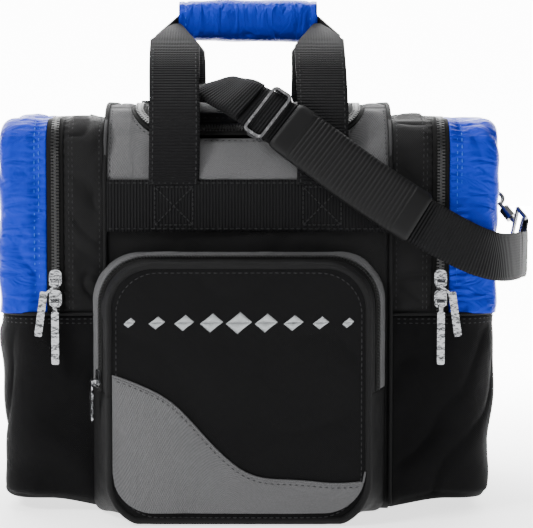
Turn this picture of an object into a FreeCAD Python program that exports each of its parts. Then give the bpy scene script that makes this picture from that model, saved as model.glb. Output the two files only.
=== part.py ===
import FreeCAD, Part
import os
from math import cos, pi, radians, sin, tan

from FreeCAD import Rotation, Vector

# A single-ball bowling bag: a centre compartment for one ball, a shoe compartment at each
# side with a blue zipped flap, a zipped front pocket, two web handles joined by a padded
# wrap, and a shoulder strap on snap hooks.
# Millimetres. Origin: middle of the flat base. +X is the bag's left-to-right as seen from
# the front, the front faces -Y, and +Z is up.

# ---- driving dimensions ----
HALF_WIDTH = 198.0          # outer side to middle
HALF_DEPTH = 120.0          # front or rear face to middle
SIDE_TOP = 313.0            # top of the shoe compartments
CROWN = 324.0               # top of the centre compartment
SEAM = 113.0                # middle plane of each divider
WALL = 3.0                  # padded fabric
GAP = 0.3                   # left between pieces that only touch
CORNER = 30.0               # vertical corners of the side compartments
SIDE_TOP_R = 25.0           # front and rear top edges of the side compartments
OUTER_TOP_R = 10.0          # outer top edges of the side compartments
BASE_R = 12.0               # edges round the base
SHOULDER_R = 62.0           # front and rear shoulders of the centre compartment
FLAP_EDGE = 159.5           # inner edge of each blue flap
GUSSET_EDGE = 146.2         # outer edge of each black gusset
SIDE_ZIP = 152.5            # middle line of each side zipper
FOLD_Z = 158.5              # where the blue flaps fold
WEB = 40.0                  # handle and strap webbing
WEB_T = 2.2                 # its thickness
BAND_Z = (224.0, 265.0)     # web band round the middle of the bag
HANDLE_X = 58.5             # middle of each handle riser
WRAP_Z = (377.0, 413.0)     # padded wrap round the two handles
WRAP_HALF = (58.0, 20.0)    # its half length and half depth
WRAP_CORNER = 14.0          # its rounding
LID_HALF = (94.0, 109.0)    # zipped opening in the top
LID_HINGE_Y = 100.0         # where the lid folds
LID_CORNER = 30.0           # front corners of that opening
LID_EDGE = 12.4             # from the opening's edge to the lid's
COIL_MIDDLE = 6.3           # from the opening's edge to the zipper's middle line
POCKET_BACK = (-123.0, 109.0, 208.0)    # left, right and top of the pocket at the bag
POCKET_FACE = (-107.0, 93.0, 201.0)     # left, right and top of the pocket's face
POCKET_Y = (-172.0, -120.3)
POCKET_FOLD_Z = 101.0
POCKET_ZIP_Y = -146.0
POCKET_CORNER = 34.0        # corners of its face
POCKET_BACK_CORNERS = (10.0, 38.0)      # lower and upper corners at the bag
BINDING = 7.8               # width of the binding round the face
RING_Z = 262.0              # bar of each D-ring
RING_X = HALF_WIDTH + 4.8
RING_DROP = 19.0            # from its bar to its lowest point
RING_TILT = 25.0            # the rings are pulled outwards by this angle
HOOK_TILT = 32.0            # the hooks hang outwards by this angle
HOOK_LEAN = 35.0            # and towards the strap by this one
BALL_R = 108.0              # a full-size ball, 216 mm
BOARD_T = 3.5               # stiffener board
CUP_HALF = (103.0, 101.0)   # half length and half depth of the foam cup
CUP_H = 36.0                # and its height
SLIDERS_Z = (187.0, 171.0)  # where each side's two sliders are parked
PULLS = (46.0, 52.0)        # lengths of their pulls
SLIDE_HALF = (22.0, 9.0, 4.7)           # half length, width and thickness of the strap slide
SLIDE_MOUTH = 19.6          # half width of the strap's way through it

os.makedirs("parts", exist_ok=True)
nodes = {}


# ---- shape helpers ----
def box(x, y, z):
    """A block between pairs of low and high values."""
    size = (x[1] - x[0], y[1] - y[0], z[1] - z[0])
    return Part.makeBox(size[0], size[1], size[2], Vector(x[0], y[0], z[0]))


def in_plane(plane, u, v, level):
    """A point at u, v in a plane XY, XZ or YZ at a level along the third axis."""
    if plane == "XY":
        return Vector(u, v, level)
    if plane == "XZ":
        return Vector(u, level, v)
    return Vector(level, u, v)


def rounded_wire(points, radii, plane, level):
    """A closed outline whose corners are arcs; a radius of 0 keeps a corner sharp."""
    corners = [in_plane(plane, u, v, level) for u, v in points]
    spans = []
    for i, corner in enumerate(corners):
        before = (corners[i - 1] - corner).normalize()
        after = (corners[(i + 1) % len(corners)] - corner).normalize()
        half = before.getAngle(after) / 2
        reach = max(radii[i], 0.01) / tan(half)
        start = corner + before * reach
        end = corner + after * reach
        bisector = (before + after).normalize()
        centre = corner + bisector * (max(radii[i], 0.01) / sin(half))
        middle = centre - bisector * max(radii[i], 0.01)
        spans.append((start, middle, end))
    edges = []
    for i, (start, middle, end) in enumerate(spans):
        edges.append(Part.Arc(start, middle, end).toShape())
        edges.append(Part.makeLine(end, spans[(i + 1) % len(spans)][0]))
    return Part.Wire(edges)


def prism(points, radii, plane, low, high):
    """A rounded outline extruded from low to high across its plane."""
    face = Part.Face(rounded_wire(points, radii, plane, low))
    return face.extrude(in_plane(plane, 0, 0, high - low))


def rectangle(u, v):
    return [(u[0], v[0]), (u[1], v[0]), (u[1], v[1]), (u[0], v[1])]


def mirrored(shape):
    return shape.mirror(Vector(0, 0, 0), Vector(1, 0, 0))


def turned_round(shape):
    """The same piece at the rear: turned half a turn about +Z."""
    copy = shape.copy()
    copy.rotate(Vector(0, 0, 0), Vector(0, 0, 1), 180)
    return copy


def keep(name, *shapes):
    """Adds one node, as a single solid or a group of separate ones."""
    solids = [solid for shape in shapes for solid in shape.Solids]
    nodes[name] = solids[0] if len(solids) == 1 else Part.makeCompound(solids)


def fused(shapes):
    return shapes[0].multiFuse(shapes[1:]).removeSplitter()


def rod(points, radius):
    """A round rod along straight runs, with a ball at each joint."""
    pieces = []
    for start, end in zip(points, points[1:]):
        run = end - start
        pieces.append(Part.makeCylinder(radius, run.Length, start, run))
    pieces += [Part.makeSphere(radius, point) for point in points[1:-1]]
    return fused(pieces)


# ---- the bag's outer forms ----
def side_form(inset, inner_x=-SEAM - 1.5):
    """The left shoe compartment's outside, made smaller all round by inset."""
    outer_x = -HALF_WIDTH + inset
    depth = (-HALF_DEPTH + inset, HALF_DEPTH - inset)
    height = (inset, SIDE_TOP - inset)
    front_view = prism(
        rectangle((outer_x, inner_x), height),
        [BASE_R - inset, 0, 0, OUTER_TOP_R - inset], "XZ", depth[0], depth[1])
    top_view = prism(
        rectangle((outer_x, inner_x), depth),
        [CORNER - inset, 0, 0, CORNER - inset], "XY", height[0], height[1])
    base, top = BASE_R - inset, SIDE_TOP_R - inset
    side_view = prism(
        rectangle(depth, height), [base, base, top, top], "YZ", outer_x, inner_x)
    return front_view.common(top_view).common(side_view)


def side_skin(outset, thickness):
    """A skin round the left shoe compartment, open at the divider."""
    return side_form(-outset).cut(side_form(thickness - outset, -SEAM))


def centre_form(inset, half_length):
    """The ball compartment's outside, made smaller in depth and height by inset."""
    depth = (-HALF_DEPTH + inset, HALF_DEPTH - inset)
    height = (inset, CROWN - inset)
    base, top = BASE_R - inset, SHOULDER_R - inset
    return prism(
        rectangle(depth, height), [base, base, top, top], "YZ", -half_length, half_length)


def centre_skin(outset, thickness):
    """A skin round the ball compartment, open at both dividers."""
    return centre_form(-outset, SEAM - 1.5).cut(centre_form(thickness - outset, SEAM))


def lid_plan(inset):
    """The lid's outline seen from above, as a tall block, shut off at the hinge."""
    x = (-LID_HALF[0] + inset, LID_HALF[0] - inset)
    y = (-LID_HALF[1] + inset, LID_HINGE_Y)
    corner = LID_CORNER - inset
    return prism(rectangle(x, y), [corner, corner, 0, 0], "XY", 280.0, 340.0)


def pocket_form(inset, back_y=POCKET_Y[1]):
    """The front pocket's outside, narrower at its face than at the bag."""
    low_r, high_r = POCKET_BACK_CORNERS
    wires = []
    for (left, right, top), radii, y in (
            (POCKET_FACE, (POCKET_CORNER,) * 4, POCKET_Y[0] + inset),
            (POCKET_BACK, (low_r, low_r, high_r, high_r), back_y)):
        outline = rectangle((left + inset, right - inset), (inset, top - inset))
        wires.append(rounded_wire(outline, [r - inset for r in radii], "XZ", y))
    return Part.makeLoft(wires, True, True)


# ---- fixed shell of the bag ----
def make_base():
    """Flat bottom panel, the stiffener board on it and the foam cup that seats the ball."""
    flat = (HALF_WIDTH - BASE_R, HALF_DEPTH - BASE_R)
    plate = rectangle((-flat[0], flat[0]), (-flat[1], flat[1]))
    keep("base_panel", prism(plate, [CORNER - BASE_R] * 4, "XY", 0, WALL))
    board = ((-SEAM + 4, SEAM - 4), (-flat[1] + 2, flat[1] - 2))
    board_top = WALL + GAP + BOARD_T
    keep("base_board", prism(rectangle(*board), [8] * 4, "XY", WALL + GAP, board_top))
    cup_low = board_top + GAP
    block = prism(
        rectangle((-CUP_HALF[0], CUP_HALF[0]), (-CUP_HALF[1], CUP_HALF[1])),
        [20] * 4, "XY", cup_low, cup_low + CUP_H)
    seat = Part.makeSphere(BALL_R + 1, Vector(0, 0, cup_low + 4 + BALL_R + 1))
    keep("ball_cup", block.cut(seat))


def make_centre():
    """Front and rear panels, grey shoulders, grey strips at the lid's ends, dividers."""
    skin = centre_skin(0, WALL)
    wide = (-SEAM, SEAM)
    flat_y = HALF_DEPTH - BASE_R
    split_z = BAND_Z[1] - 3
    floor = box(wide, (-flat_y - GAP, flat_y + GAP), (-1, WALL + 1))
    lower = skin.cut(floor)
    front = lower.common(box(wide, (-200, 0), (-1, split_z)))
    keep("front_panel", front)
    keep("rear_panel", turned_round(front))
    cap = skin.common(box(wide, (-200, 200), (split_z + GAP, 400))).cut(lid_plan(0))
    strip_x = LID_HALF[0]
    hinge_side = box((-strip_x, strip_x), (LID_HINGE_Y, LID_HINGE_Y + 0.6), (280, 400))
    cap = cap.cut(hinge_side)
    end = LID_HALF[1] - 32
    keep("front_shoulder", cap.common(box(wide, (-200, -end), (0, 400))))
    keep("rear_shoulder", cap.common(box(wide, (end, 200), (0, 400))))
    strips = cap.common(box(wide, (-end + GAP, end - GAP), (0, 400)))
    keep("shoulder_ends", strips)
    plate = [HALF_DEPTH - GAP, -HALF_DEPTH + GAP]
    side_outline = prism(
        rectangle((plate[1], plate[0]), (WALL + GAP, SIDE_TOP - GAP)),
        [BASE_R - WALL, BASE_R - WALL, SIDE_TOP_R, SIDE_TOP_R], "YZ", -SEAM - 1.4, -SEAM + 1.4)
    centre_outline = prism(
        rectangle((plate[1], plate[0]), (WALL + GAP, CROWN - GAP)),
        [BASE_R - WALL, BASE_R - WALL, SHOULDER_R, SHOULDER_R], "YZ",
        -SEAM - 1.4, -SEAM + 1.4)
    divider = fused([side_outline, centre_outline])
    keep("dividers", divider, mirrored(divider))


def make_lid():
    """The raised top lid, its zipper halves and the slider that runs along one side."""
    skin = centre_skin(0, WALL)
    lid = skin.common(lid_plan(LID_EDGE)).cut(box((-200, 200), (LID_HINGE_Y - 0.3, 200), (0, 400)))
    keep("lid_panel", lid)
    reach = box((-200, 200), (-200, LID_HINGE_Y - 6), (0, 400))
    tape, coil = centre_skin(-0.3, 1.0), centre_skin(0.6, 2.2)

    def half(outer, inner, coil_outer, coil_inner):
        flat = tape.common(lid_plan(outer)).cut(lid_plan(inner))
        teeth = coil.common(lid_plan(coil_outer)).cut(lid_plan(coil_inner))
        return fused([flat.common(reach), teeth.common(reach)])

    keep("lid_zip_fixed", half(GAP, 5.4, 3.4, 5.4))
    keep("lid_zip_moving", half(7.2, LID_EDGE - GAP, 7.2, 9.2))
    x = -LID_HALF[0] + COIL_MIDDLE
    top = box((x - 4.6, x + 4.6), (36, 50), (CROWN + 1.2, CROWN + 2.8))
    under = box((x - 0.4, x + 4.4), (36, 50), (CROWN - 4.2, CROWN - 2.6))
    post = box((x - 0.4, x + 0.4), (40, 46), (CROWN - 3.0, CROWN + 1.5))
    tab = box((x - 3.0, x + 3.0), (10, 42), (CROWN + 2.7, CROWN + 4.0))
    keep("lid_slider", fused([top, under, post, tab]))


def make_side(side, place):
    """One shoe compartment: lower shell, upper gusset, flap and its zipper halves."""
    skin = side_skin(0, WALL)
    flat = (-HALF_WIDTH + BASE_R, HALF_DEPTH - BASE_R)
    floor = box((flat[0] - GAP, 0), (-flat[1] - GAP, flat[1] + GAP), (-1, WALL + 1))
    everything = (-250, 250)
    lower = skin.common(box((-300, 0), everything, (-1, FOLD_Z - 0.5))).cut(floor)
    keep(side + "_lower_shell", place(lower))
    upper = skin.common(box((-300, 0), everything, (FOLD_Z + 0.5, 400)))
    keep(side + "_gusset", place(upper.common(box((-GUSSET_EDGE, 0), everything, (0, 400)))))
    flap = upper.common(box((-300, -FLAP_EDGE), everything, (0, 400)))
    keep(side + "_flap", place(flap))
    tape, coil = side_skin(-0.3, 1.0), side_skin(0.6, 2.2)
    above = (FOLD_Z + 1.5, 400)

    def half(edge, inner, coil_edge):
        flat_part = tape.common(box((min(edge, inner), max(edge, inner)), everything, above))
        teeth = coil.common(box((min(coil_edge, inner), max(coil_edge, inner)), everything, above))
        return place(fused([flat_part, teeth]))

    fixed = half(-GUSSET_EDGE - 0.2, -SIDE_ZIP + 1.0, -SIDE_ZIP + 3.0)
    moving = half(-FLAP_EDGE + 0.2, -SIDE_ZIP - 1.0, -SIDE_ZIP - 3.0)
    keep(side + "_zip_moving", moving)
    return fixed


# ---- webbing ----
def make_bands():
    """A web band across the front and one across the rear, and the web down each side."""
    outline = ((-SEAM + 1.8, SEAM - 1.8), (-HALF_DEPTH - WEB_T - GAP, -HALF_DEPTH - GAP))
    front = box(outline[0], outline[1], BAND_Z)
    left = box((-HALF_WIDTH - WEB_T - GAP, -HALF_WIDTH - GAP), (-19, 19), (24, FOLD_Z - 4))
    keep("web_bands", front, turned_round(front), left, mirrored(left))


def riser_profile(half_thickness):
    """The side view of a handle riser, from the band up and in to the wrap."""
    line = [Vector(0, y, z) for y, z in (
        (-HALF_DEPTH - 2.4, BAND_Z[1] + 1), (-HALF_DEPTH - 4.5, 300.0), (-118.0, 336.0),
        (-100.0, 362.0), (-66.0, 381.0), (-16.0, 391.0))]
    middle = Part.BSplineCurve()
    middle.interpolate(line)
    sides = []
    for sign in (-1, 1):
        offset = []
        for i in range(len(line) * 2 - 1):
            at = middle.FirstParameter + (middle.LastParameter - middle.FirstParameter) * i / (
                len(line) * 2 - 2)
            along = middle.tangent(at)[0]
            across = Vector(0, -along.z, along.y)
            offset.append(middle.value(at) + across * (sign * half_thickness))
        curve = Part.BSplineCurve()
        curve.interpolate(offset)
        sides.append(curve)
    caps = [Part.makeLine(sides[0].StartPoint, sides[1].StartPoint),
            Part.makeLine(sides[0].EndPoint, sides[1].EndPoint)]
    return Part.Face(Part.Wire(Part.__sortEdges__(
        [sides[0].toShape(), sides[1].toShape()] + caps)))


def make_handles():
    """Each handle is two risers and the run between them, inside the padded wrap."""
    profile = riser_profile(WEB_T / 2 + 0.4)
    risers = []
    for x in (-HANDLE_X, HANDLE_X):
        blank = profile.copy()
        blank.translate(Vector(x - WEB / 2, 0, 0))
        risers.append(blank.extrude(Vector(WEB, 0, 0)))
    run = box((-HANDLE_X - WEB / 2, HANDLE_X + WEB / 2), (-16.6, -12.0), (387.0, 400.0))
    half_length, half_depth = WRAP_HALF
    trimmed = [riser.cut(box((-half_length - 2, half_length + 2), (-60, 60), (370, 420)).common(
        box((-200, 200), (-half_depth - 2, 60), (0, 500)))) for riser in risers]
    handle = fused([trimmed[0], trimmed[1], run])
    keep("front_handle", handle)
    keep("rear_handle", turned_round(handle))
    sleeve = prism(
        rectangle((-half_depth, half_depth), WRAP_Z), [WRAP_CORNER] * 4, "YZ", -half_length, half_length)
    hollow = prism(
        rectangle((-half_depth + 2.6, half_depth - 2.6), (WRAP_Z[0] + 5, WRAP_Z[1] - 9)),
        [6] * 4, "YZ", -half_length - 1, half_length + 1)
    keep("handle_wrap", sleeve.cut(hollow))


# ---- front pocket ----
def make_pocket():
    """Lower shell and face, grey gusset, and the zipped flap that folds down."""
    skin = pocket_form(0).cut(pocket_form(WALL, POCKET_Y[1] + 1))
    face_y = POCKET_Y[0] + WALL
    wide = (-200, 200)
    below, above = (-1, POCKET_FOLD_Z - 0.4), (POCKET_FOLD_Z + 0.4, 400)
    face = skin.common(box(wide, (-200, face_y), (-1, 400)))
    walls = skin.common(box(wide, (face_y + GAP, 0), (-1, 400)))

    def window_at(inset):
        left, right, top = POCKET_FACE
        outline = rectangle((left + inset, right - inset), (inset, top - inset))
        return prism(outline, [POCKET_CORNER + 1 - inset] * 4, "XZ", -200, -100)

    window, rim_window = window_at(BINDING + 0.2), window_at(BINDING)
    for name, height in (("lower", below), ("flap", above)):
        part = box(wide, (-300, 300), height)
        keep("pocket_face_" + name, face.common(window).common(part))
        keep("pocket_binding_" + name, face.cut(rim_window).common(part))
    keep("pocket_shell_lower", walls.common(box(wide, (-300, 300), below)))
    upper = walls.common(box(wide, (-300, 300), above))
    fixed_edge, moving_edge = POCKET_ZIP_Y + 6, POCKET_ZIP_Y - 6
    keep("pocket_gusset", upper.common(box(wide, (fixed_edge, 0), (0, 400))))
    keep("pocket_gusset_flap", upper.common(box(wide, (-300, moving_edge), (0, 400))))
    tape = pocket_form(0.3).cut(pocket_form(1.3, POCKET_Y[1] + 1))
    coil = pocket_form(-0.6).cut(pocket_form(1.6, POCKET_Y[1] + 1))

    def half(edge, inner, coil_edge, low):
        up = (low, 400)
        flat = tape.common(box(wide, (min(edge, inner), max(edge, inner)), up))
        teeth = coil.common(box(wide, (min(coil_edge, inner), max(coil_edge, inner)), up))
        return fused([flat, teeth])

    zip_y = POCKET_ZIP_Y
    keep("pocket_zip_fixed", half(fixed_edge - 0.2, zip_y + 1, zip_y + 3, POCKET_FOLD_Z + 1))
    keep("pocket_zip_moving", half(moving_edge + 0.2, zip_y - 1, zip_y - 3, POCKET_FOLD_Z + 20))


# ---- zipper hardware ----
def slider(under_side):
    """A zipper slider about the origin: it faces -Y, runs along Z, and reaches under one
    half of the teeth. Its bail is a small bar along X."""
    plate = prism(rectangle((-5, 5), (-7, 7)), [4] * 4, "XZ", -3.4, -1.6)
    under = box(tuple(sorted((0.4 * -under_side, 4.4 * under_side))), (2.2, 3.4), (-6, 6))
    post = box((-0.4, 0.4), (-2.0, 2.6), (-3, 3))
    ears = [box((x, x + 1.2), (-7.4, -3.2), (-5, -1)) for x in (-4.4, 3.2)]
    bail = Part.makeCylinder(0.8, 8.4, Vector(-4.2, -6.2, -3), Vector(1, 0, 0))
    return fused([plate, under, post, bail] + ears)


def pull(length, lean, shift):
    """A pull that hangs from the slider's bail: a curled top, a neck that steps sideways
    by shift, and a flat bar."""
    outside = Part.makeCylinder(2.1, 5.2, Vector(-2.6, -6.2, -3), Vector(1, 0, 0))
    inside = Part.makeCylinder(1.15, 6, Vector(-3, -6.2, -3), Vector(1, 0, 0))
    straight = box((-1.6, 1.6), (-8.2, -7.0), (-6.5, -3))
    step = [(-1.6, -6), (1.6, -6), (shift + 1.6, -12.5), (shift - 1.6, -12.5)]
    neck = straight.fuse(prism(step, [0] * 4, "XZ", -8.2, -7.0))
    bar = prism(rectangle((-3.0, 3.0), (-length, -10)), [1.5] * 4, "XZ", -8.6, -7.0)
    bar.rotate(Vector(0, -7, -10), Vector(0, 1, 0), lean)
    bar.translate(Vector(shift, 0, 0))
    return fused([outside, neck, bar]).cut(inside)


def make_side_sliders(side, sign):
    """Two sliders parked at the lower front end of a side zipper, each with its pull."""
    for level, z, length, lean, shift in (
            ("upper", SLIDERS_Z[0], PULLS[0], -8.0 * sign, 8.6 * sign),
            ("lower", SLIDERS_Z[1], PULLS[1], 0.0, 0.0)):
        at = Vector(sign * SIDE_ZIP, -HALF_DEPTH, z)
        body = slider(-sign)
        body.translate(at)
        keep(f"{side}_slider_{level}", body)
        tab = pull(length, lean, shift)
        tab.translate(at)
        keep(f"{side}_pull_{level}", tab)


def pocket_slider_place():
    """Middle of the pocket's slider and the turn that lays it on the pocket's left wall."""
    share = (POCKET_ZIP_Y - POCKET_Y[1]) / (POCKET_Y[0] - POCKET_Y[1])
    x = POCKET_BACK[0] + (POCKET_FACE[0] - POCKET_BACK[0]) * share
    return Vector(x, POCKET_ZIP_Y, POCKET_FOLD_Z + 10)


def make_pocket_slider():
    at = pocket_slider_place()
    body, tab = slider(-1), pull(34.0, 0.0, 0.0)
    for shape in (body, tab):
        shape.rotate(Vector(0, 0, 0), Vector(0, 0, 1), -90 + 17.1)
        shape.translate(at)
    keep("pocket_slider", body)
    keep("pocket_pull", tab)


# ---- strap hardware ----
def make_ring(side, place):
    """A web tab on the flap with a D-ring hanging from its fold."""
    x = -HALF_WIDTH - GAP
    tab = box((x - WEB_T, x), (-19, 19), (FOLD_Z + 5, RING_Z + 5))
    fold = Part.makeCylinder(3.6, 32, Vector(-RING_X, -16, RING_Z), Vector(0, 1, 0))
    hole = Part.makeCylinder(2.4, 34, Vector(-RING_X, -17, RING_Z), Vector(0, 1, 0))
    keep(side + "_ring_tab", place(fused([tab, fold]).cut(hole)))
    points = [Vector(-RING_X, y, RING_Z + z) for y, z in (
        (0, 0), (-19, 0), (-20, -4), (-17, -11), (-10, -17), (0, -19),
        (10, -17), (17, -11), (20, -4), (19, 0), (0, 0))]
    ring = rod(points, 2.0)
    ring.rotate(Vector(-RING_X, 0, RING_Z), Vector(0, 1, 0), RING_TILT)
    keep(side + "_ring", place(ring))


def hook_frame():
    """Where a left hook sits: round the ring's lowest point, tilted out and to the rear."""
    tilt = radians(RING_TILT)
    low = Vector(-RING_X - RING_DROP * sin(tilt), 0, RING_Z - RING_DROP * cos(tilt))
    turn = Rotation(Vector(1, 0, 0), HOOK_LEAN).multiply(Rotation(Vector(0, 1, 0), HOOK_TILT))
    return FreeCAD.Placement(low, turn)


def make_hook(side, place):
    """A snap hook: the cast hook, its sprung gate, and the swivelling web eye."""
    radius = 6.2
    turn = [Vector(radius * sin(radians(a)), 0, radius * cos(radians(a)))
            for a in range(-180, 101, 20)]
    claw = rod([Vector(0, 0, -13)] + turn, 1.8)
    barrel = Part.makeCylinder(4.6, 11, Vector(0, 0, -23), Vector(0, 0, 1))
    hook = fused([claw, barrel])
    gate = rod([Vector(5.9, 0, -3.4), Vector(5.5, 0, -9.6)], 1.5)
    pin = Part.makeCylinder(2.0, 4.0, Vector(0, 0, -27.3), Vector(0, 0, 1))
    frame = rod([Vector(0, 0, -28), Vector(0, -22, -28), Vector(0, -22, -38),
                 Vector(0, 22, -38), Vector(0, 22, -28), Vector(0, 0, -28)], 1.8)
    eye = fused([pin, frame])
    for name, shape in (("hook", hook), ("gate", gate), ("eye", eye)):
        shape.Placement = hook_frame().multiply(shape.Placement)
        keep(f"{side}_{name}", place(shape))


# ---- shoulder strap ----
# Each entry is a point on the strap's middle line and the way its outer face looks there.
# The strap is flat web that runs from the right hook, up across the front, through the
# front handle, over the lid, down the rear and round to the left hook.
STRAP_ROUTE = [
    ((220.5, -86.5, 203), (0.85, -0.5, 0)),
    ((208, -114, 202), (0.65, -0.75, 0)),
    ((185, -136, 207), (0.2, -1, 0)),
    ((156, -142, 221), (0, -1, 0.05)),
    ((123, -141, 241), (0, -1, 0.1)),
    ((88, -139, 264), (0, -1, 0.15)),
    ((52, -135, 291), (0, -1, 0.2)),
    ((16, -126, 317), (-0.05, -1, 0.35)),
    ((-12, -110, 333), (-0.1, -0.75, 0.7)),
    ((-35, -84, 339), (-0.1, -0.35, 1)),
    ((-51, -46, 339), (0, -0.05, 1)),
    ((-58, 0, 338), (0, 0, 1)),
    ((-60, 42, 337), (0, 0.1, 1)),
    ((-62, 76, 333), (0, 0.35, 1)),
    ((-68, 99, 320), (0, 0.75, 0.7)),
    ((-86, 112.5, 303), (0, 1, 0.38)),
    ((-112, 129, 275), (0, 1, 0.15)),
    ((-146, 138, 246), (0, 1, 0)),
    ((-182, 138, 220), (-0.15, 1, 0)),
    ((-208, 116, 205), (-0.65, 0.75, 0)),
    ((-220.5, 86.5, 203), (-0.85, 0.5, 0)),
]
SLIDE_POINT = 7             # the route point at the adjusting slide
PAD_X = (28, 134)           # the pad's ends, read along X
END_ROUTE = [
    ((231.5, -22.5, 212.6), (1, 0, 0)),
    ((232.5, -33.0, 203.4), (1, 0, 0)),
    ((230.0, -55, 201.0), (1, -0.1, 0)),
    ((221.5, -84.0, 203), (0.85, -0.5, 0)),
]


def smooth_line(route):
    """Straight runs joined by tangent arcs, with the outer face's direction at each point,
    and the radius of each arc."""
    points = [Vector(*point) for point, facing in route]
    facing = [Vector(*way).normalize() for point, way in route]
    line, radii = [(points[0], facing[0])], []
    for i in range(1, len(points) - 1):
        back, ahead = points[i - 1] - points[i], points[i + 1] - points[i]
        reach = 0.45 * min(back.Length, ahead.Length)
        turn = pi - back.getAngle(ahead)
        radius = reach / tan(turn / 2)
        radii.append(round(radius))
        start = points[i] + back.normalize() * reach
        end = points[i] + ahead.normalize() * reach
        centre = points[i] + (back + ahead).normalize() * (radius / cos(turn / 2))
        middle = centre + (points[i] - centre).normalize() * radius
        line.append((start, facing[i] * 0.72 + facing[i - 1] * 0.28))
        line.append((middle, facing[i]))
        line.append((end, facing[i] * 0.72 + facing[i + 1] * 0.28))
    line.append((points[-1], facing[-1]))
    return line, radii


def polyhedron(rings):
    """A closed solid through rings of four corners, with flat triangles for sides."""
    faces = []

    def triangle(a, b, c):
        faces.append(Part.Face(Part.makePolygon([a, b, c, a])))

    for first, second in zip(rings, rings[1:]):
        for i in range(4):
            j = (i + 1) % 4
            triangle(first[i], first[j], second[j])
            triangle(first[i], second[j], second[i])
    for ring in (rings[0], rings[-1]):
        triangle(ring[0], ring[1], ring[2])
        triangle(ring[0], ring[2], ring[3])
    solid = Part.Solid(Part.Shell(faces))
    if solid.Volume < 0:
        solid.reverse()
    return solid


def band(line, width, low, high):
    """Flat web along a line of (point, outer face's direction), from low to high across it."""
    rings = []
    for i, (point, facing) in enumerate(line):
        along = line[min(i + 1, len(line) - 1)][0] - line[max(i - 1, 0)][0]
        along.normalize()
        out = (facing - along * facing.dot(along)).normalize()
        side = along.cross(out)
        rings.append([point + side * (width / 2 * s) + out * h
                      for s, h in ((-1, low), (1, low), (1, high), (-1, high))])
    return polyhedron(rings)


def make_strap():
    """The web, the ribbed rubber pad on it, the adjusting slide and the sewn ends."""
    line, radii = smooth_line(STRAP_ROUTE)
    end_line, end_radii = smooth_line(END_ROUTE)
    print("strap radii", radii, "end radii", end_radii)
    half = WEB_T / 2
    strap = band(line, WEB - 2, -half, half)
    length = sum((b[0] - a[0]).Length for a, b in zip(line, line[1:]))
    print("strap length", round(length))
    keep("shoulder_strap", strap)
    pad_line = [entry for entry in line if PAD_X[0] < entry[0].x < PAD_X[1]]
    keep("strap_pad", band(pad_line, WEB + 3, half + 0.9, half + 5))
    end = band(end_line, WEB - 3, -half, half)
    keep("strap_ends", end, turned_round(end))
    middle = 3 * SLIDE_POINT - 1
    at, facing = line[middle]
    along = (line[middle + 1][0] - line[middle - 1][0]).normalize()
    out = (facing - along * facing.dot(along)).normalize()
    side = along.cross(out)
    x, y, z = SLIDE_HALF
    mouth = (-SLIDE_MOUTH, SLIDE_MOUTH)
    block = prism(rectangle((-x, x), (-y, y)), [4.5] * 4, "XY", -z, z)
    block = block.cut(box(mouth, (-y - 1, y + 1), (-3.1, 3.1)))
    block = block.cut(prism(rectangle(mouth, (2.2 - y, y - 2.2)), [2.5] * 4, "XY", 2.9, 5))
    block.Placement = FreeCAD.Placement(at, Rotation(side, along, out, "ZXY"))
    keep("strap_slide", block)


def make_piping():
    """Piped seams down the front and rear, where the side compartments join."""
    pipes = []
    for x in (-SEAM, SEAM):
        pipes.append(Part.makeCylinder(1.6, 262, Vector(x, -HALF_DEPTH - 1.9, 14)))
    pipes += [turned_round(pipe) for pipe in pipes]
    pipes = [pipe.cut(pocket_form(-GAP)) for pipe in pipes]
    keep("seam_piping", *pipes)


def main():
    make_base()
    make_centre()
    make_lid()
    zips = []
    for side, place, turn in (
            ("left", lambda shape: shape, lambda shape: shape),
            ("right", mirrored, turned_round)):
        zips.append(make_side(side, place))
        make_ring(side, place)
        make_hook(side, turn)
    keep("side_zips_fixed", *zips)
    make_bands()
    make_piping()
    make_handles()
    make_pocket()
    make_side_sliders("left", -1)
    make_side_sliders("right", 1)
    make_pocket_slider()
    make_strap()
    for name, shape in nodes.items():
        if not shape.isValid():
            print("invalid", name)
        box_of = shape.BoundBox
        print(name, len(shape.Solids), round(shape.Volume), [round(v, 1) for v in (
            box_of.XMin, box_of.YMin, box_of.ZMin, box_of.XMax, box_of.YMax, box_of.ZMax)])
        shape.exportStep(f"parts/{name}.step")
    print(len(nodes), "nodes")


main()
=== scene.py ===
"""Looks of a bowling ball bag: cloth panels, webbing, zippers, hardware, camera and light."""
from math import atan2, cos, pi, radians, sin, sqrt, tan

import bpy
import numpy as np
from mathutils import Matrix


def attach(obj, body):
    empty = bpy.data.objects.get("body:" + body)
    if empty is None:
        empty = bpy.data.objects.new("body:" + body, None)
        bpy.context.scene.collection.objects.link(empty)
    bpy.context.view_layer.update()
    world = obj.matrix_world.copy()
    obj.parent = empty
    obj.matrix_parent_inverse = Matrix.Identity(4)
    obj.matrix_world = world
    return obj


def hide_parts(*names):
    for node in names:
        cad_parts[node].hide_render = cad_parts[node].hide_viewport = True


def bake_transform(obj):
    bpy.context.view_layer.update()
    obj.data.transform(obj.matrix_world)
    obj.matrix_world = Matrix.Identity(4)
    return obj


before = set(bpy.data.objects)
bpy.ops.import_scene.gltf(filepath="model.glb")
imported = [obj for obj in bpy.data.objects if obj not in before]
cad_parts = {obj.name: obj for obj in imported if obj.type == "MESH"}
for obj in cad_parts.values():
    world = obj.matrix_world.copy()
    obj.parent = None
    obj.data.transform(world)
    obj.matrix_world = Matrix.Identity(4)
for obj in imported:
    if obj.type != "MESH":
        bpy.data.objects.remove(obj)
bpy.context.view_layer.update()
MM = 0.001

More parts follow.
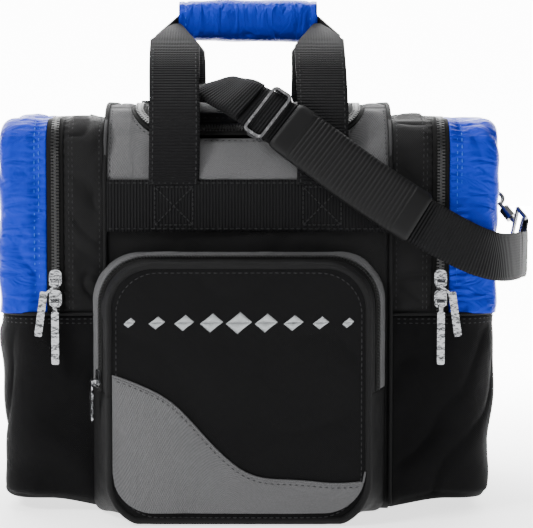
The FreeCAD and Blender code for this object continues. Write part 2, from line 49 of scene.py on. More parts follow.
# ---- sizes in millimetres, as in the CAD part ----
HALF_WIDTH, HALF_DEPTH, SIDE_TOP, CROWN = 198.0, 120.0, 313.0, 324.0
SEAM, FLAP_EDGE, GUSSET_EDGE, SIDE_ZIP, FOLD_Z = 113.0, 159.5, 146.2, 152.5, 158.5
SHOULDER_R, BASE_R, LID_Y = 62.0, 12.0, 109.0
POCKET_BACK, POCKET_FACE = (-123.0, 109.0, 208.0), (-107.0, 93.0, 201.0)
POCKET_Y, POCKET_FOLD_Z, POCKET_ZIP_Y = (-172.0, -120.3), 101.0, -146.0
CREST, SHOULDER_Z = HALF_DEPTH - SHOULDER_R, CROWN - SHOULDER_R
SIDE_R, LOWER_R, LID_X, LID_R, SIDE_OF_SEAM = 25.0, 30.0, 94.0, 30.0, 112.2
HANDLE_X, HANDLE_HALF, WRAP_HALF, WRAP_Z = 58.5, 20.0, 58.0, 395.0
POCKET_X, FACE_R = -7.0, 34.0
UP = np.array([0.0, 0.0, 1.0])

# ---- camera ----
camera_data = bpy.data.cameras.new("Camera")
camera_data.lens, camera_data.sensor_width, camera_data.shift_x = 132.5, 36.0, 0.0347
camera = bpy.data.objects.new("Camera", camera_data)
camera.location = (0.0, -1.670, 0.320)
camera.rotation_euler = (radians(90 - 4.49), 0.0, 0.0)
bpy.context.collection.objects.link(camera)
bpy.context.scene.camera = camera


# ---- materials ----
def shader(name, color, rough, metallic=0.0, specular=0.5):
    mat = bpy.data.materials.new(name)
    mat.use_nodes = True
    bsdf = mat.node_tree.nodes["Principled BSDF"]
    for label, value in (("Base Color", (*color, 1)), ("Roughness", rough),
                         ("Metallic", metallic), ("Specular IOR Level", specular)):
        bsdf.inputs[label].default_value = value
    return mat


def operation(tree, kind, first, second=None):
    node = tree.nodes.new("ShaderNodeMath")
    node.operation = kind
    for socket, value in zip(node.inputs, (first, second)):
        if isinstance(value, (int, float)):
            socket.default_value = value
        elif value is not None:
            tree.links.new(value, socket)
    return node.outputs[0]


def noise(tree, vector, scale, detail=2.0, distortion=0.0):
    node = tree.nodes.new("ShaderNodeTexNoise")
    for label, value in (("Scale", scale), ("Detail", detail), ("Distortion", distortion)):
        node.inputs[label].default_value = value
    tree.links.new(vector, node.inputs["Vector"])
    return node.outputs["Fac"]


def relief(tree, height, strength, distance):
    node = tree.nodes.new("ShaderNodeBump")
    node.inputs["Strength"].default_value = strength
    node.inputs["Distance"].default_value = distance
    tree.links.new(height, node.inputs["Height"])
    return node


def woven(name, color, rough, pitch, depth, speckle=0.25, specular=0.3, ribs=0.0, metallic=0.0,
          crinkle=(0.0, 0.05, 0.05)):
    """Cloth: threads in both directions read from the piece's own lengths in millimetres.
    ribs is how far the weave gives way to ribs across the length; crinkle is the depth of
    small creases and how often they come along and across."""
    mat = shader(name, color, rough, metallic, specular)
    tree = mat.node_tree
    bsdf = tree.nodes["Principled BSDF"]
    place = tree.nodes.new("ShaderNodeTexCoord").outputs["UV"]
    split = tree.nodes.new("ShaderNodeSeparateXYZ")
    tree.links.new(place, split.inputs[0])
    along, across = (operation(tree, "SINE", operation(
        tree, "MULTIPLY", split.outputs[axis], 2 * pi / size)) for axis, size in zip("XY", pitch))
    weave = operation(tree, "MULTIPLY", along, across)
    height = operation(tree, "ADD", operation(tree, "MULTIPLY", weave, 1.0 - ribs),
                       operation(tree, "MULTIPLY", along, ribs))
    grain = operation(tree, "ADD", operation(tree, "MULTIPLY", height, 0.5),
                      noise(tree, place, 0.45, 4.0))
    ramp = tree.nodes.new("ShaderNodeValToRGB")
    for element, share in zip(ramp.color_ramp.elements, (1 - speckle, 1 + speckle)):
        element.color = (*[c * share for c in color], 1)
    tree.links.new(grain, ramp.inputs[0])
    tree.links.new(ramp.outputs[0], bsdf.inputs["Base Color"])
    threads = relief(tree, height, depth, 0.0005)
    tree.links.new(threads.outputs[0], bsdf.inputs["Normal"])
    if crinkle[0]:
        spacing = tree.nodes.new("ShaderNodeMapping")
        spacing.inputs["Scale"].default_value = (crinkle[1], crinkle[2], 1.0)
        tree.links.new(place, spacing.inputs["Vector"])
        folds = noise(tree, spacing.outputs[0], 1.0, 3.0, 0.8)
        crease = relief(tree, folds, 1.0, crinkle[0] * MM)
        tree.links.new(crease.outputs[0], threads.inputs["Normal"])
    return mat


def metal(name, color, rough, dent):
    """Plated metal with faint clouding and small dents."""
    mat = shader(name, color, rough, metallic=1.0)
    tree = mat.node_tree
    bsdf = tree.nodes["Principled BSDF"]
    place = tree.nodes.new("ShaderNodeTexCoord").outputs["Object"]
    worn = operation(tree, "ADD", operation(tree, "MULTIPLY", noise(tree, place, 220.0), 0.16),
                     rough - 0.08)
    tree.links.new(worn, bsdf.inputs["Roughness"])
    dents = relief(tree, noise(tree, place, 190.0), dent, 0.002)
    tree.links.new(dents.outputs[0], bsdf.inputs["Normal"])
    return mat


BLACK = woven("black cloth", (0.0036, 0.0036, 0.0038), 0.65, (1.6, 1.6), 0.5, specular=0.12,
              crinkle=(3.0, 0.03, 0.03))
# LOWER is the black cloth again, made darker for the sides' lower shells: the darker colour is
# painted shade
LOWER = woven("lower black cloth with painted shade", (0.0022, 0.0022, 0.0024), 0.7, (1.6, 1.6), 0.5, specular=0.06,
              crinkle=(3.0, 0.03, 0.03))
PLAIN = woven("black face cloth", (0.0022, 0.0022, 0.0024), 0.7, (1.4, 1.4), 0.4, specular=0.07,
              crinkle=(2.0, 0.02, 0.02))
GREY = woven("grey cloth", (0.07, 0.07, 0.072), 0.75, (2.0, 2.0), 0.45, speckle=0.22,
             specular=0.2, crinkle=(2.0, 0.03, 0.03))
BLUE = woven("blue nylon", (0.001, 0.015, 0.3), 0.38, (1.3, 1.3), 0.3, speckle=0.15,
             specular=0.15, metallic=0.4, crinkle=(5.0, 0.1, 0.035))
WEBBING = woven("black webbing", (0.004, 0.004, 0.0044), 0.65, (2.5, 2.2), 0.9, ribs=0.75,
                specular=0.08)
TAPE = woven("zipper tape", (0.003, 0.003, 0.003), 0.7, (1.2, 1.2), 0.5, specular=0.1)
THREAD = woven("black thread", (0.01, 0.01, 0.011), 0.5, (0.8, 0.5), 0.5)
BLUE_THREAD = woven("blue thread", (0.02, 0.09, 0.5), 0.45, (0.8, 0.5), 0.5)
SILVER = woven("silver thread", (0.42, 0.44, 0.45), 0.35, (0.8, 0.5), 0.6, specular=0.7)
TEETH = shader("zipper teeth", (0.012, 0.012, 0.012), 0.35, specular=0.5)
RUBBER = woven("strap rubber", (0.0022, 0.0022, 0.0024), 0.5, (0.9, 0.9), 0.15, specular=0.15)
LINING = woven("lining", (0.02, 0.02, 0.021), 0.75, (1.4, 1.4), 0.4)
BOARD = woven("board", (0.03, 0.03, 0.03), 0.6, (3.0, 3.0), 0.2)
NICKEL = metal("nickel", (0.26, 0.265, 0.275), 0.24, 0.5)
HOOK_METAL = metal("hook nickel", (0.3, 0.3, 0.31), 0.24, 0.15)
DARK_METAL = metal("slide metal", (0.3, 0.3, 0.31), 0.25, 0.25)


# ---- mesh helpers; points are in millimetres ----
def unit(v):
    v = np.asarray(v, float)
    return v / np.maximum(np.linalg.norm(v, axis=-1, keepdims=True), 1e-9)


def ease(share):
    """Eases a share that runs from 0 to 1."""
    return share * share * (3 - 2 * share)


def arc(radius, away):
    """Height of a circle beside its middle, and 0 beyond it."""
    return np.sqrt(np.maximum(radius ** 2 - away ** 2, 0))


def grid(x, y, z):
    """A grid of points from coordinates that are rows, columns or single values."""
    return np.stack(np.broadcast_arrays(x, y, z), -1)


def run_along(line):
    """The length of a line of points up to each of them."""
    return np.concatenate([[0], np.linalg.norm(np.diff(line, axis=0), axis=1).cumsum()])


def build(name, points, faces, mat, uvs=None, smooth=True):
    mesh = bpy.data.meshes.new(name)
    mesh.from_pydata((np.asarray(points) * MM).tolist(), [], faces)
    if uvs is not None:
        layer = mesh.uv_layers.new(name="UVMap")
        index = np.empty(len(mesh.loops), dtype=int)
        mesh.loops.foreach_get("vertex_index", index)
        layer.data.foreach_set("uv", np.asarray(uvs, float)[index].ravel())
    mesh.polygons.foreach_set("use_smooth", [smooth] * len(mesh.polygons))
    mesh.materials.append(mat)
    obj = bpy.data.objects.new(name, mesh)
    bpy.context.collection.objects.link(obj)
    return obj


def carry(obj, carrier, nodes=()):
    """carrier is a body's name, or (first body, second body, start, end); for a tuple the piece is
    only baked in place and the tuple's parts are not used.
    """
    if isinstance(carrier, str):
        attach(obj, carrier)
    else:
        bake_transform(obj)
    if nodes:
        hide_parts(*nodes)
    return obj


def grid_normals(pts, centre, spare=(0, 0, 1)):
    """Normals of a grid of points that look away from centre, and whether the grid's own
    turn agrees with them."""
    n = np.cross(np.gradient(pts, axis=0), np.gradient(pts, axis=1))
    size = np.linalg.norm(n, axis=-1, keepdims=True)
    n = np.where(size > 1e-7, n / np.maximum(size, 1e-9), np.asarray(spare, float))
    agrees = (n * (pts - np.asarray(centre, float))).sum() >= 0
    return (n if agrees else -n), agrees


def lengths(pts):
    """A grid's mean lengths up to each of its rows and each of its columns."""
    u = np.linalg.norm(np.diff(pts, axis=0), axis=-1).mean(axis=1)
    v = np.linalg.norm(np.diff(pts, axis=1), axis=-1).mean(axis=0)
    return np.concatenate([[0], u.cumsum()]), np.concatenate([[0], v.cumsum()])


def cloth(name, pts, centre, mat, thick=2.0, spare=(0, 0, 1)):
    """A closed piece of cloth: a grid of outer points, its inner side, and a rim."""
    nu, nv = pts.shape[:2]
    n, agrees = grid_normals(pts, centre, spare)
    inner = pts - n * thick
    u, v = lengths(pts)
    uv = np.stack(np.meshgrid(u, v, indexing="ij"), -1).reshape(-1, 2)
    total = nu * nv

    def at(i, j, layer):
        return layer * total + i * nv + j

    faces = []

    def quad(a, b, c, d):
        faces.append((a, b, c, d) if agrees else (d, c, b, a))

    for i in range(nu - 1):
        for j in range(nv - 1):
            quad(at(i, j, 0), at(i + 1, j, 0), at(i + 1, j + 1, 0), at(i, j + 1, 0))
            quad(at(i, j, 1), at(i, j + 1, 1), at(i + 1, j + 1, 1), at(i + 1, j, 1))
    for i in range(nu - 1):
        quad(at(i, 0, 0), at(i, 0, 1), at(i + 1, 0, 1), at(i + 1, 0, 0))
        quad(at(i, nv - 1, 0), at(i + 1, nv - 1, 0), at(i + 1, nv - 1, 1), at(i, nv - 1, 1))
    for j in range(nv - 1):
        quad(at(0, j, 0), at(0, j + 1, 0), at(0, j + 1, 1), at(0, j, 1))
        quad(at(nu - 1, j, 0), at(nu - 1, j, 1), at(nu - 1, j + 1, 1), at(nu - 1, j + 1, 0))
    both = np.concatenate([pts.reshape(-1, 3), inner.reshape(-1, 3)])
    return build(name, both, faces, mat, np.concatenate([uv, uv]))


def waves(pts, length, seed, stretch=(1, 1, 1), count=12):
    """Smooth random hills about length apart, from about -1.5 to 1.5."""
    rng = np.random.default_rng(seed)
    way = unit(rng.normal(size=(count, 3)))
    pace = way * (2 * pi / length) * rng.uniform(0.6, 1.5, (count, 1))
    start = rng.uniform(0, 2 * pi, count)
    return np.sin((pts * np.asarray(stretch, float)) @ pace.T + start).sum(-1) / sqrt(count)


def creases(pts, length, seed, stretch=(1, 1, 1)):
    """Sharp folds: ridges where the hills change sign, from 0 to 1."""
    return np.exp(-3.5 * np.abs(waves(pts, length, seed, stretch)))


def push(pts, centre, amount, spare=(0, 0, 1)):
    """Moves a grid's points out along their normals, each by its own amount."""
    return pts + grid_normals(pts, centre, spare)[0] * amount[..., None]


def edge_fall(shape, axis, reach):
    """1 in the middle of a grid and 0 at both edges along one axis, over reach steps."""
    count = shape[axis]
    index = np.arange(count)
    fall = ease(np.clip(np.minimum(index, count - 1 - index) / reach, 0, 1))
    return fall[:, None] if axis == 0 else fall[None, :]


def edges(pts, rows, columns):
    """1 in the middle of a grid and 0 at all four edges."""
    return edge_fall(pts.shape, 0, rows) * edge_fall(pts.shape, 1, columns)


def rounded(points, radii, closed=False):
    """A dense flat line through points whose corners are arcs."""
    pts, line = [np.array(p, float) for p in points], []
    for i, p in enumerate(pts):
        if radii[i] < 0.01 or (not closed and i in (0, len(pts) - 1)):
            line.append(p)
            continue
        a, b = unit(pts[i - 1] - p), unit(pts[(i + 1) % len(pts)] - p)
        half = np.arccos(np.clip(a @ b, -1, 1)) / 2
        centre = p + unit(a + b) * radii[i] / sin(half)
        s, e = p + a * radii[i] / tan(half) - centre, p + b * radii[i] / tan(half) - centre
        first, last = atan2(s[1], s[0]), atan2(e[1], e[0])
        turn = (last - first + pi) % (2 * pi) - pi
        for k in range(13):
            at = first + turn * k / 12
            line.append(centre + radii[i] * np.array([cos(at), sin(at)]))
    if closed:
        line.append(line[0])
    return np.array(line)


def spread(line, count):
    """count points at equal lengths along a line of points."""
    line = np.asarray(line, float)
    run = run_along(line)
    at = np.linspace(0, run[-1], count)
    return np.stack([np.interp(at, run, line[:, k]) for k in range(line.shape[1])], -1)


def ring_faces(count, sides, closed=False):
    """Faces between rings of points, with both ends shut unless the rings close."""
    faces = []
    for i in range(count if closed else count - 1):
        for k in range(sides):
            j, m = (i + 1) % count, (k + 1) % sides
            faces.append((i * sides + k, i * sides + m, j * sides + m, j * sides + k))
    if not closed:
        faces.append(tuple(range(sides))[::-1])
        faces.append(tuple((count - 1) * sides + k for k in range(sides)))
    return faces


def tube(points, radius, sides=8, closed=False):
    """Points and faces of a round cord along a line."""
    pts = np.asarray(points, float)
    if closed:
        along = unit(np.roll(pts, -1, axis=0) - np.roll(pts, 1, axis=0))
    else:
        along = unit(np.gradient(pts, axis=0))
    side = np.cross(along[0], UP if abs(along[0][2]) < 0.9 else (1, 0, 0))
    rings = []
    for p, t in zip(pts, along):
        side = unit(side - t * (side @ t))
        other = np.cross(t, side)
        turn = np.arange(sides) * 2 * pi / sides
        rings.append(p + radius * (np.cos(turn)[:, None] * side + np.sin(turn)[:, None] * other))
    uv = [(run, k * 2 * pi * radius / sides) for run in run_along(pts) for k in range(sides)]
    return np.concatenate(rings), ring_faces(len(pts), sides, closed), uv


def cord_piece(name, points, radius, mat, sides=8, closed=False):
    verts, faces, uv = tube(points, radius, sides, closed)
    return build(name, verts, faces, mat, uv)


def ribbon(name, centres, outs, width, thick, mat, lift=None, count=11):
    """Flat webbing along a line: outs is the way its outer face looks, lift(s, run) adds
    height to that face, s from -1 to 1 across and run in millimetres along."""
    pts = np.asarray(centres, float)
    along = unit(np.gradient(pts, axis=0))
    outs = unit(outs - along * (outs * along).sum(-1, keepdims=True))
    side = np.cross(along, outs)
    run = run_along(pts)
    across = np.linspace(-1, 1, count)
    width = np.broadcast_to(width, len(pts))
    verts, uv = [], []
    for i, p in enumerate(pts):
        for s in across:
            edge = 1 - 0.75 * abs(s) ** 14
            high = thick / 2 * edge + (lift(s, run[i]) if lift else 0)
            verts.append(p + side[i] * s * width[i] / 2 + outs[i] * high)
            uv.append((run[i], s * width[i] / 2))
        for s in across[::-1]:
            edge = 1 - 0.75 * abs(s) ** 14
            verts.append(p + side[i] * s * width[i] / 2 - outs[i] * thick / 2 * edge)
            uv.append((run[i], s * width[i] / 2 + 60))
    return build(name, verts, ring_faces(len(pts), 2 * count), mat, uv)


# Stitches are gathered and made into one piece for each carrier and thread.
STITCHES = {}


def stitch(line, outs, carrier="bag", thread="black", length=3.2, gap=1.5, radius=0.42, lift=0.25):
    line = np.asarray(line, float)
    outs = np.broadcast_to(np.asarray(outs, float), line.shape)
    total = run_along(line)[-1]
    count = max(2, int(total / (length + gap)))
    fine = spread(np.concatenate([line, outs], axis=1), count * 4 + 1)
    verts, faces = STITCHES.setdefault((carrier, thread), ([], []))
    share = length / (length + gap)
    for k in range(count):
        a, b = fine[4 * k], fine[4 * k + 4]
        p, q = a[:3], a[:3] + (b[:3] - a[:3]) * share
        out = unit(a[3:])
        t = unit(q - p)
        side = np.cross(t, out)
        base = len(verts)
        for point, size, rise in ((p, 0.5, -0.35), ((p + q) / 2, 1.0, lift), (q, 0.5, -0.35)):
            for m in range(6):
                turn = m * pi / 3
                verts.append(point + out * (rise + radius * size * sin(turn))
                             + side * radius * 1.15 * size * cos(turn))
        for ring in (0, 6):
            for m in range(6):
                w = (m + 1) % 6
                faces.append((base + ring + m, base + ring + w,
                              base + ring + 6 + w, base + ring + 6 + m))
        faces.append(tuple(base + m for m in range(6))[::-1])
        faces.append(tuple(base + 12 + m for m in range(6)))


def make_stitches():
    threads = {"black": THREAD, "blue": BLUE_THREAD, "silver": SILVER}
    for index, ((carrier, thread), (verts, faces)) in enumerate(STITCHES.items()):
        uv = [(p[2], p[0]) for p in verts]
        carry(build(f"stitches_{index}", verts, faces, threads[thread], uv), carrier)


def box_stitch(x, y, z, half, out, carrier="bag"):
    """A sewn square with a cross in it, on a face that looks along Y."""
    corners = [(x - half, z - half), (x + half, z - half), (x + half, z + half),
               (x - half, z + half), (x - half, z - half)]
    for a, b in list(zip(corners, corners[1:])) + [(corners[0], corners[2]),
                                                   (corners[1], corners[3])]:
        line = [(a[0], y, a[1]), (b[0], y, b[1])]
        stitch(line, (0, out, 0), carrier, length=2.6, gap=1.0, radius=0.5)


# ---- shoulder strap: its route runs from the right hook round to the left one ----
STRAP_ROUTE = [
    ((220.5, -86.5, 203), (0.85, -0.5, 0)), ((208, -114, 202), (0.65, -0.75, 0)),
    ((185, -136, 207), (0.2, -1, 0)), ((156, -142, 221), (0, -1, 0.05)),
    ((123, -141, 241), (0, -1, 0.1)), ((88, -139, 264), (0, -1, 0.15)),
    ((52, -135, 291), (0, -1, 0.2)), ((16, -126, 317), (-0.05, -1, 0.35)),
    ((-12, -110, 333), (-0.1, -0.75, 0.7)), ((-35, -84, 339), (-0.1, -0.35, 1)),
    ((-51, -46, 339), (0, -0.05, 1)), ((-58, 0, 338), (0, 0, 1)), ((-60, 42, 337), (0, 0.1, 1)),
    ((-62, 76, 333), (0, 0.35, 1)), ((-68, 99, 320), (0, 0.75, 0.7)),
    ((-86, 112.5, 303), (0, 1, 0.38)), ((-112, 129, 275), (0, 1, 0.15)),
    ((-146, 138, 246), (0, 1, 0)), ((-182, 138, 220), (-0.15, 1, 0)),
    ((-208, 116, 205), (-0.65, 0.75, 0)), ((-220.5, 86.5, 203), (-0.85, 0.5, 0))]
END_ROUTE = [
    ((231.5, -22.5, 212.6), (1, 0, 0)), ((232.5, -33.0, 203.4), (1, 0, 0)),
    ((230.0, -55, 201.0), (1, -0.1, 0)), ((221.5, -84.0, 203), (0.85, -0.5, 0))]
STRAP_WIDTH, PAD_WIDTH, WEB_THICK = 38.0, 43.0, 2.2
EYE_BAR = (230.9, -18.5, 218.4)
EYE_WAY = (0.0, -0.574, -0.819)


def route_points(name, route):
    """Points along the NURBS route in metres, and the way the strap's face looks there."""
    curve = bpy.data.curves.new(name, "CURVE")
    curve.dimensions = "3D"
    spline = curve.splines.new("NURBS")
    spline.points.add(len(route) - 1)
    for point, (place, _) in zip(spline.points, route):
        point.co = (place[0] * MM, place[1] * MM, place[2] * MM, 1)
    spline.order_u = 3
    spline.use_endpoint_u = True
    spline.resolution_u = 9
    obj = bpy.data.objects.new(name, curve)
    bpy.context.collection.objects.link(obj)
    bpy.context.view_layer.update()
    mesh = bpy.data.meshes.new_from_object(obj)
    points = np.array([v.co for v in mesh.vertices], float).reshape(-1, 3)
    bpy.data.objects.remove(obj)
    bpy.data.meshes.remove(mesh)
    control = np.array([p for p, f in route], float) * MM
    faces = unit(np.array([f for p, f in route], float))
    outs = []
    for point in points:
        best = None
        for i in range(len(control) - 1):
            leg = control[i + 1] - control[i]
            t = float(np.clip((point - control[i]) @ leg / (leg @ leg), 0, 1))
            away = np.linalg.norm(control[i] + leg * t - point)
            if best is None or away < best[0]:
                best = (away, faces[i] * (1 - t) + faces[i + 1] * t)
        outs.append(best[1])
    outs = np.array(outs)
    for _ in range(6):
        outs[1:-1] = (outs[:-2] + outs[1:-1] * 2 + outs[2:]) / 4
    return points, unit(outs)


def turned(points):
    """The same points half a turn round the bag's upright axis."""
    return np.asarray(points, float) * (-1, -1, 1)


def make_pad(line, outs):
    """Ribbed rubber pad, with a smooth block at each end."""
    steps, ribs_apart = np.arange(300), 3.4
    chosen = np.where((line[:, 0] > 28) & (line[:, 0] < 134))[0]
    run = run_along(line)
    fine = spread(np.concatenate([line[chosen], outs[chosen]], axis=1), len(steps))
    total = run[chosen[-1]] - run[chosen[0]]

    def height(s, r):
        block = min(r, total - r) < 15
        rib = 0 if block else 0.65 * (sin(2 * pi * r / ribs_apart) > -0.1)
        end_fall = 1 - max(0, 1 - min(r, total - r) / 3.0) ** 2
        return (1.2 if block else rib) * (1 - abs(s) ** 6) * end_fall + 0.9 * (1 - s * s)

    width = PAD_WIDTH - 4.0 * np.clip(1 - np.minimum(steps, steps[::-1]) / 12, 0, 1) ** 2
    centre = fine[:, :3] + unit(fine[:, 3:]) * 3.2
    pad = ribbon("strap_pad_rubber", centre, fine[:, 3:], width, 3.6, RUBBER, height, 19)
    carry(pad, "bag", ["strap_pad"])
    return pad


def make_doubled(line, outs):
    """The second layer of web that comes back through the slide."""
    count = 40
    chosen = np.where((line[:, 0] > -34) & (line[:, 0] < 4))[0]
    fine = spread(np.concatenate([line[chosen], outs[chosen]], axis=1), count)
    gap = 2.9 + 0.9 * np.sin(np.linspace(0, 3.2 * pi, count))
    centre = fine[:, :3] + unit(fine[:, 3:]) * gap[:, None]
    loop = ribbon("strap_fold", centre, fine[:, 3:], STRAP_WIDTH, 2.0, WEBBING)
    carry(loop, "bag")
    return loop


def make_strap_end(side, turn, line, outs):
    """A sewn end, from under the main strap to its loop round the eye's bar."""
    points, faces = route_points(side + "_end_route", END_ROUTE)
    sewn = slice(1, 5)
    end_line = np.concatenate([points / MM, line[sewn] - outs[sewn] * 2.4])
    end_outs = np.concatenate([faces, outs[sewn]])
    end = ribbon(side + "_strap_end", turn(end_line), turn(end_outs), STRAP_WIDTH - 1,
                 WEB_THICK, WEBBING)
    carry(end, ("bag", side + "_flap", (0, 0, 0.199), (0, 0, 0.214)), ["strap_ends"])
    bar, way, out, r = np.array(EYE_BAR), np.array(EYE_WAY), np.array([1.0, 0.0, 0.0]), 3.1
    circle = [bar + r * (out * cos(a) - way * sin(a))
              for a in np.linspace(-0.645 * pi, 0.645 * pi, 13)]
    tail = [bar + out * 1.4 + way * (4.0 + 3.0 * k) for k in range(6)]
    sling = np.array(circle + tail)
    facing = unit(sling - bar - way)
    facing[len(circle):] = out
    loop = ribbon(side + "_strap_loop", turn(sling), turn(facing), STRAP_WIDTH - 2, 1.8, WEBBING)
    carry(loop, side + "_flap")


def make_strap():
    path, outs = route_points("strap_route", STRAP_ROUTE)
    line = path / MM
    main = ribbon("strap_web", line, outs, STRAP_WIDTH, WEB_THICK, WEBBING,
                  lift=lambda s, r: 0.12 * sin(r / 9.0) * s, count=15)
    carry(main, ("bag", "lid", (0, 0, 0.3), (0, 0, 0.35)), ["shoulder_strap"])
    pad = make_pad(line, outs)
    loop = make_doubled(line, outs)
    make_strap_end("right", np.asarray, line, outs)
    make_strap_end("left", turned, line, outs)
    round(float(run_along(path)[-1]), 3)


# ---- outer forms ----
def side_ring(inset, count):
    """The side compartment's outline from front to rear over its top, above the fold."""
    r, foot = max(SIDE_R - inset, 3), FOLD_Z + 0.6
    y, top = HALF_DEPTH - inset, SIDE_TOP - inset
    return spread(rounded([(-y, foot), (-y, top), (y, top), (y, foot)], [0, r, r, 0]), count)


def lower_ring(inset, count):
    """The outline of a side's lower half, from front to rear round its outer end."""
    x, y, r = -HALF_WIDTH + inset, HALF_DEPTH - inset, max(LOWER_R - inset, 3)
    start = -SEAM - 1.4
    return spread(rounded([(start, -y), (x, -y), (x, y), (start, y)], [0, r, r, 0]), count)


def centre_point(y):
    """Height of the centre compartment's top over y."""
    y = np.abs(y)
    return np.where(y <= CREST, CROWN, SHOULDER_Z + arc(SHOULDER_R, y - CREST))


def raise_edges(pts):
    """The underside lifts off the floor towards the outer front and rear edges."""
    out = np.clip((np.abs(pts[..., 0]) - 100) / 60, 0, 1)
    far = np.clip((np.abs(pts[..., 1]) - 45) / 70, 0, 1)
    low = np.clip(1 - pts[..., 2] / 60, 0, 1)
    pts = pts.copy()
    pts[..., 2] += 8.5 * low * low * ease(out) * ease(far)
    return pts


def mirror(pts, side):
    """Points worked out for the left side, on the side asked for."""
    return pts if side == "left" else pts * (-1, 1, 1)


SIDE_HEART = {"left": (-150.0, 0.0, 160.0), "right": (150.0, 0.0, 160.0)}


def pucker(run, away, size, pitch=7.5, reach=5.0, seed=0):
    """Small gathers along a seam: run is along it, away is the distance from it."""
    phase = 1.3 * np.sin(run / 31.0 + seed) + 0.8 * np.sin(run / 12.3 + 2 * seed)
    return size * np.sin(2 * pi * run / pitch + phase) * np.exp(-np.abs(away) / reach)


def straighten_uv(obj):
    """Lays the outer panel's threads upright, where its rows draw together, at a slower pace
    so that its creases are broad."""
    mesh = obj.data
    for face in mesh.polygons:
        if abs(face.normal.x) > 0.7:
            for index in face.loop_indices:
                place = mesh.vertices[mesh.loops[index].vertex_index].co / MM
                mesh.uv_layers[0].data[index].uv = (place.y * 0.3, place.z * 0.5)


def stacked(rings, axis):
    """A grid from flat outlines: each comes with the coordinate that it lacks on that axis."""
    return np.stack([np.insert(flat, axis, place, axis=1) for place, flat in rings], axis=1)


def make_gusset(side, outline, seed):
    """Black cloth between the divider and the zipper."""
    heart = SIDE_HEART[side]
    xs = np.linspace(-SEAM - 1.6, -GUSSET_EDGE, 22)
    pts = mirror(grid(xs, outline[:, :1], outline[:, 1:]), side)
    amount = edges(pts, 5, 6) * (2.2 + 1.5 * waves(pts, 42, seed, (0.7, 1, 1.2))
                                 - 2.7 * creases(pts, 40, seed + 1, (1.0, 0.4, 1.0))) - 0.6
    amount += pucker(run_along(outline)[:, None], pts[..., 0] - pts[:1, -1:, 0], 0.5, seed=seed)
    gusset = push(pts, heart, amount)
    carry(cloth(side + "_gusset_cloth", gusset, heart, BLACK, 2.2), "bag",
          [side + "_gusset"])
    normals = grid_normals(gusset, heart)[0]
    for column in (18, 16, 2):
        stitch(gusset[2:-2, column], normals[2:-2, column])


def make_flap(side, outline, seed):
    """Blue cloth: a strip beside the zipper, a rounded edge and the outer panel."""
    heart, away = SIDE_HEART[side], (-1 if side == "left" else 1, 0, 0)
    r, count, columns = 11.0, len(outline), 24
    rings = [(-x, outline) for x in np.linspace(FLAP_EDGE, HALF_WIDTH - r, columns)]
    rings += [(-(HALF_WIDTH - r) - r * sin(phi), side_ring(r * (1 - cos(phi)), count))
              for phi in np.linspace(0, pi / 2, 10)[1:]]
    rim, foot = side_ring(r, count), FOLD_Z + 0.6
    spine = np.stack([rim[:, 0] * 0.004, foot + (rim[:, 1] - foot) * 0.55], -1)
    rings += [(-HALF_WIDTH, rim * (1 - k) + spine * k) for k in np.linspace(0, 1, 26)[1:]]
    pts = mirror(stacked(rings, 0), side)
    column = np.arange(pts.shape[1])[None, :]
    inner = np.clip(column / 8, 0, 1) * edge_fall(pts.shape, 0, 6)
    tab = np.exp(-((pts[..., 1] / 34) ** 4)) * (column > 32)
    amount = inner * (1 - 0.85 * tab) * (
        0.9 + 1.3 * waves(pts, 66, seed + 2) + 0.3 * waves(pts, 26, seed + 6, (0.6, 1, 1))
        - 1.7 * creases(pts, 60, seed + 3, (1, 0.8, 0.6)))
    # gathers along both rows of stitches, and a shallow trough between them
    run, strip = run_along(outline)[:, None], np.abs(pts[..., 0]) - 167.5
    gathers = pucker(run, strip, 0.8, 5.6, 6.5, seed)
    gathers += pucker(run, strip - 9.0, 0.5, 8.3, 6.0, seed + 2)
    amount = amount + (gathers - 1.6 * np.exp(-(strip / 4.5) ** 2)) * (column < columns + 2)
    flap = push(pts, heart, amount, away)
    flap_cloth = cloth(side + "_flap_cloth", flap, heart, BLUE, 2.0, away)
    straighten_uv(flap_cloth)
    carry(flap_cloth, side + "_flap", [side + "_flap"])
    normals = grid_normals(flap, heart, away)[0]
    xs = np.abs(flap[count // 4, :columns, 0])
    for goal in (165.2, 169.6):
        index = int(np.argmin(np.abs(xs - goal)))
        stitch(flap[3:-3, index], normals[3:-3, index], side + "_flap", "blue",
               length=4.0, gap=2.2, radius=0.5)


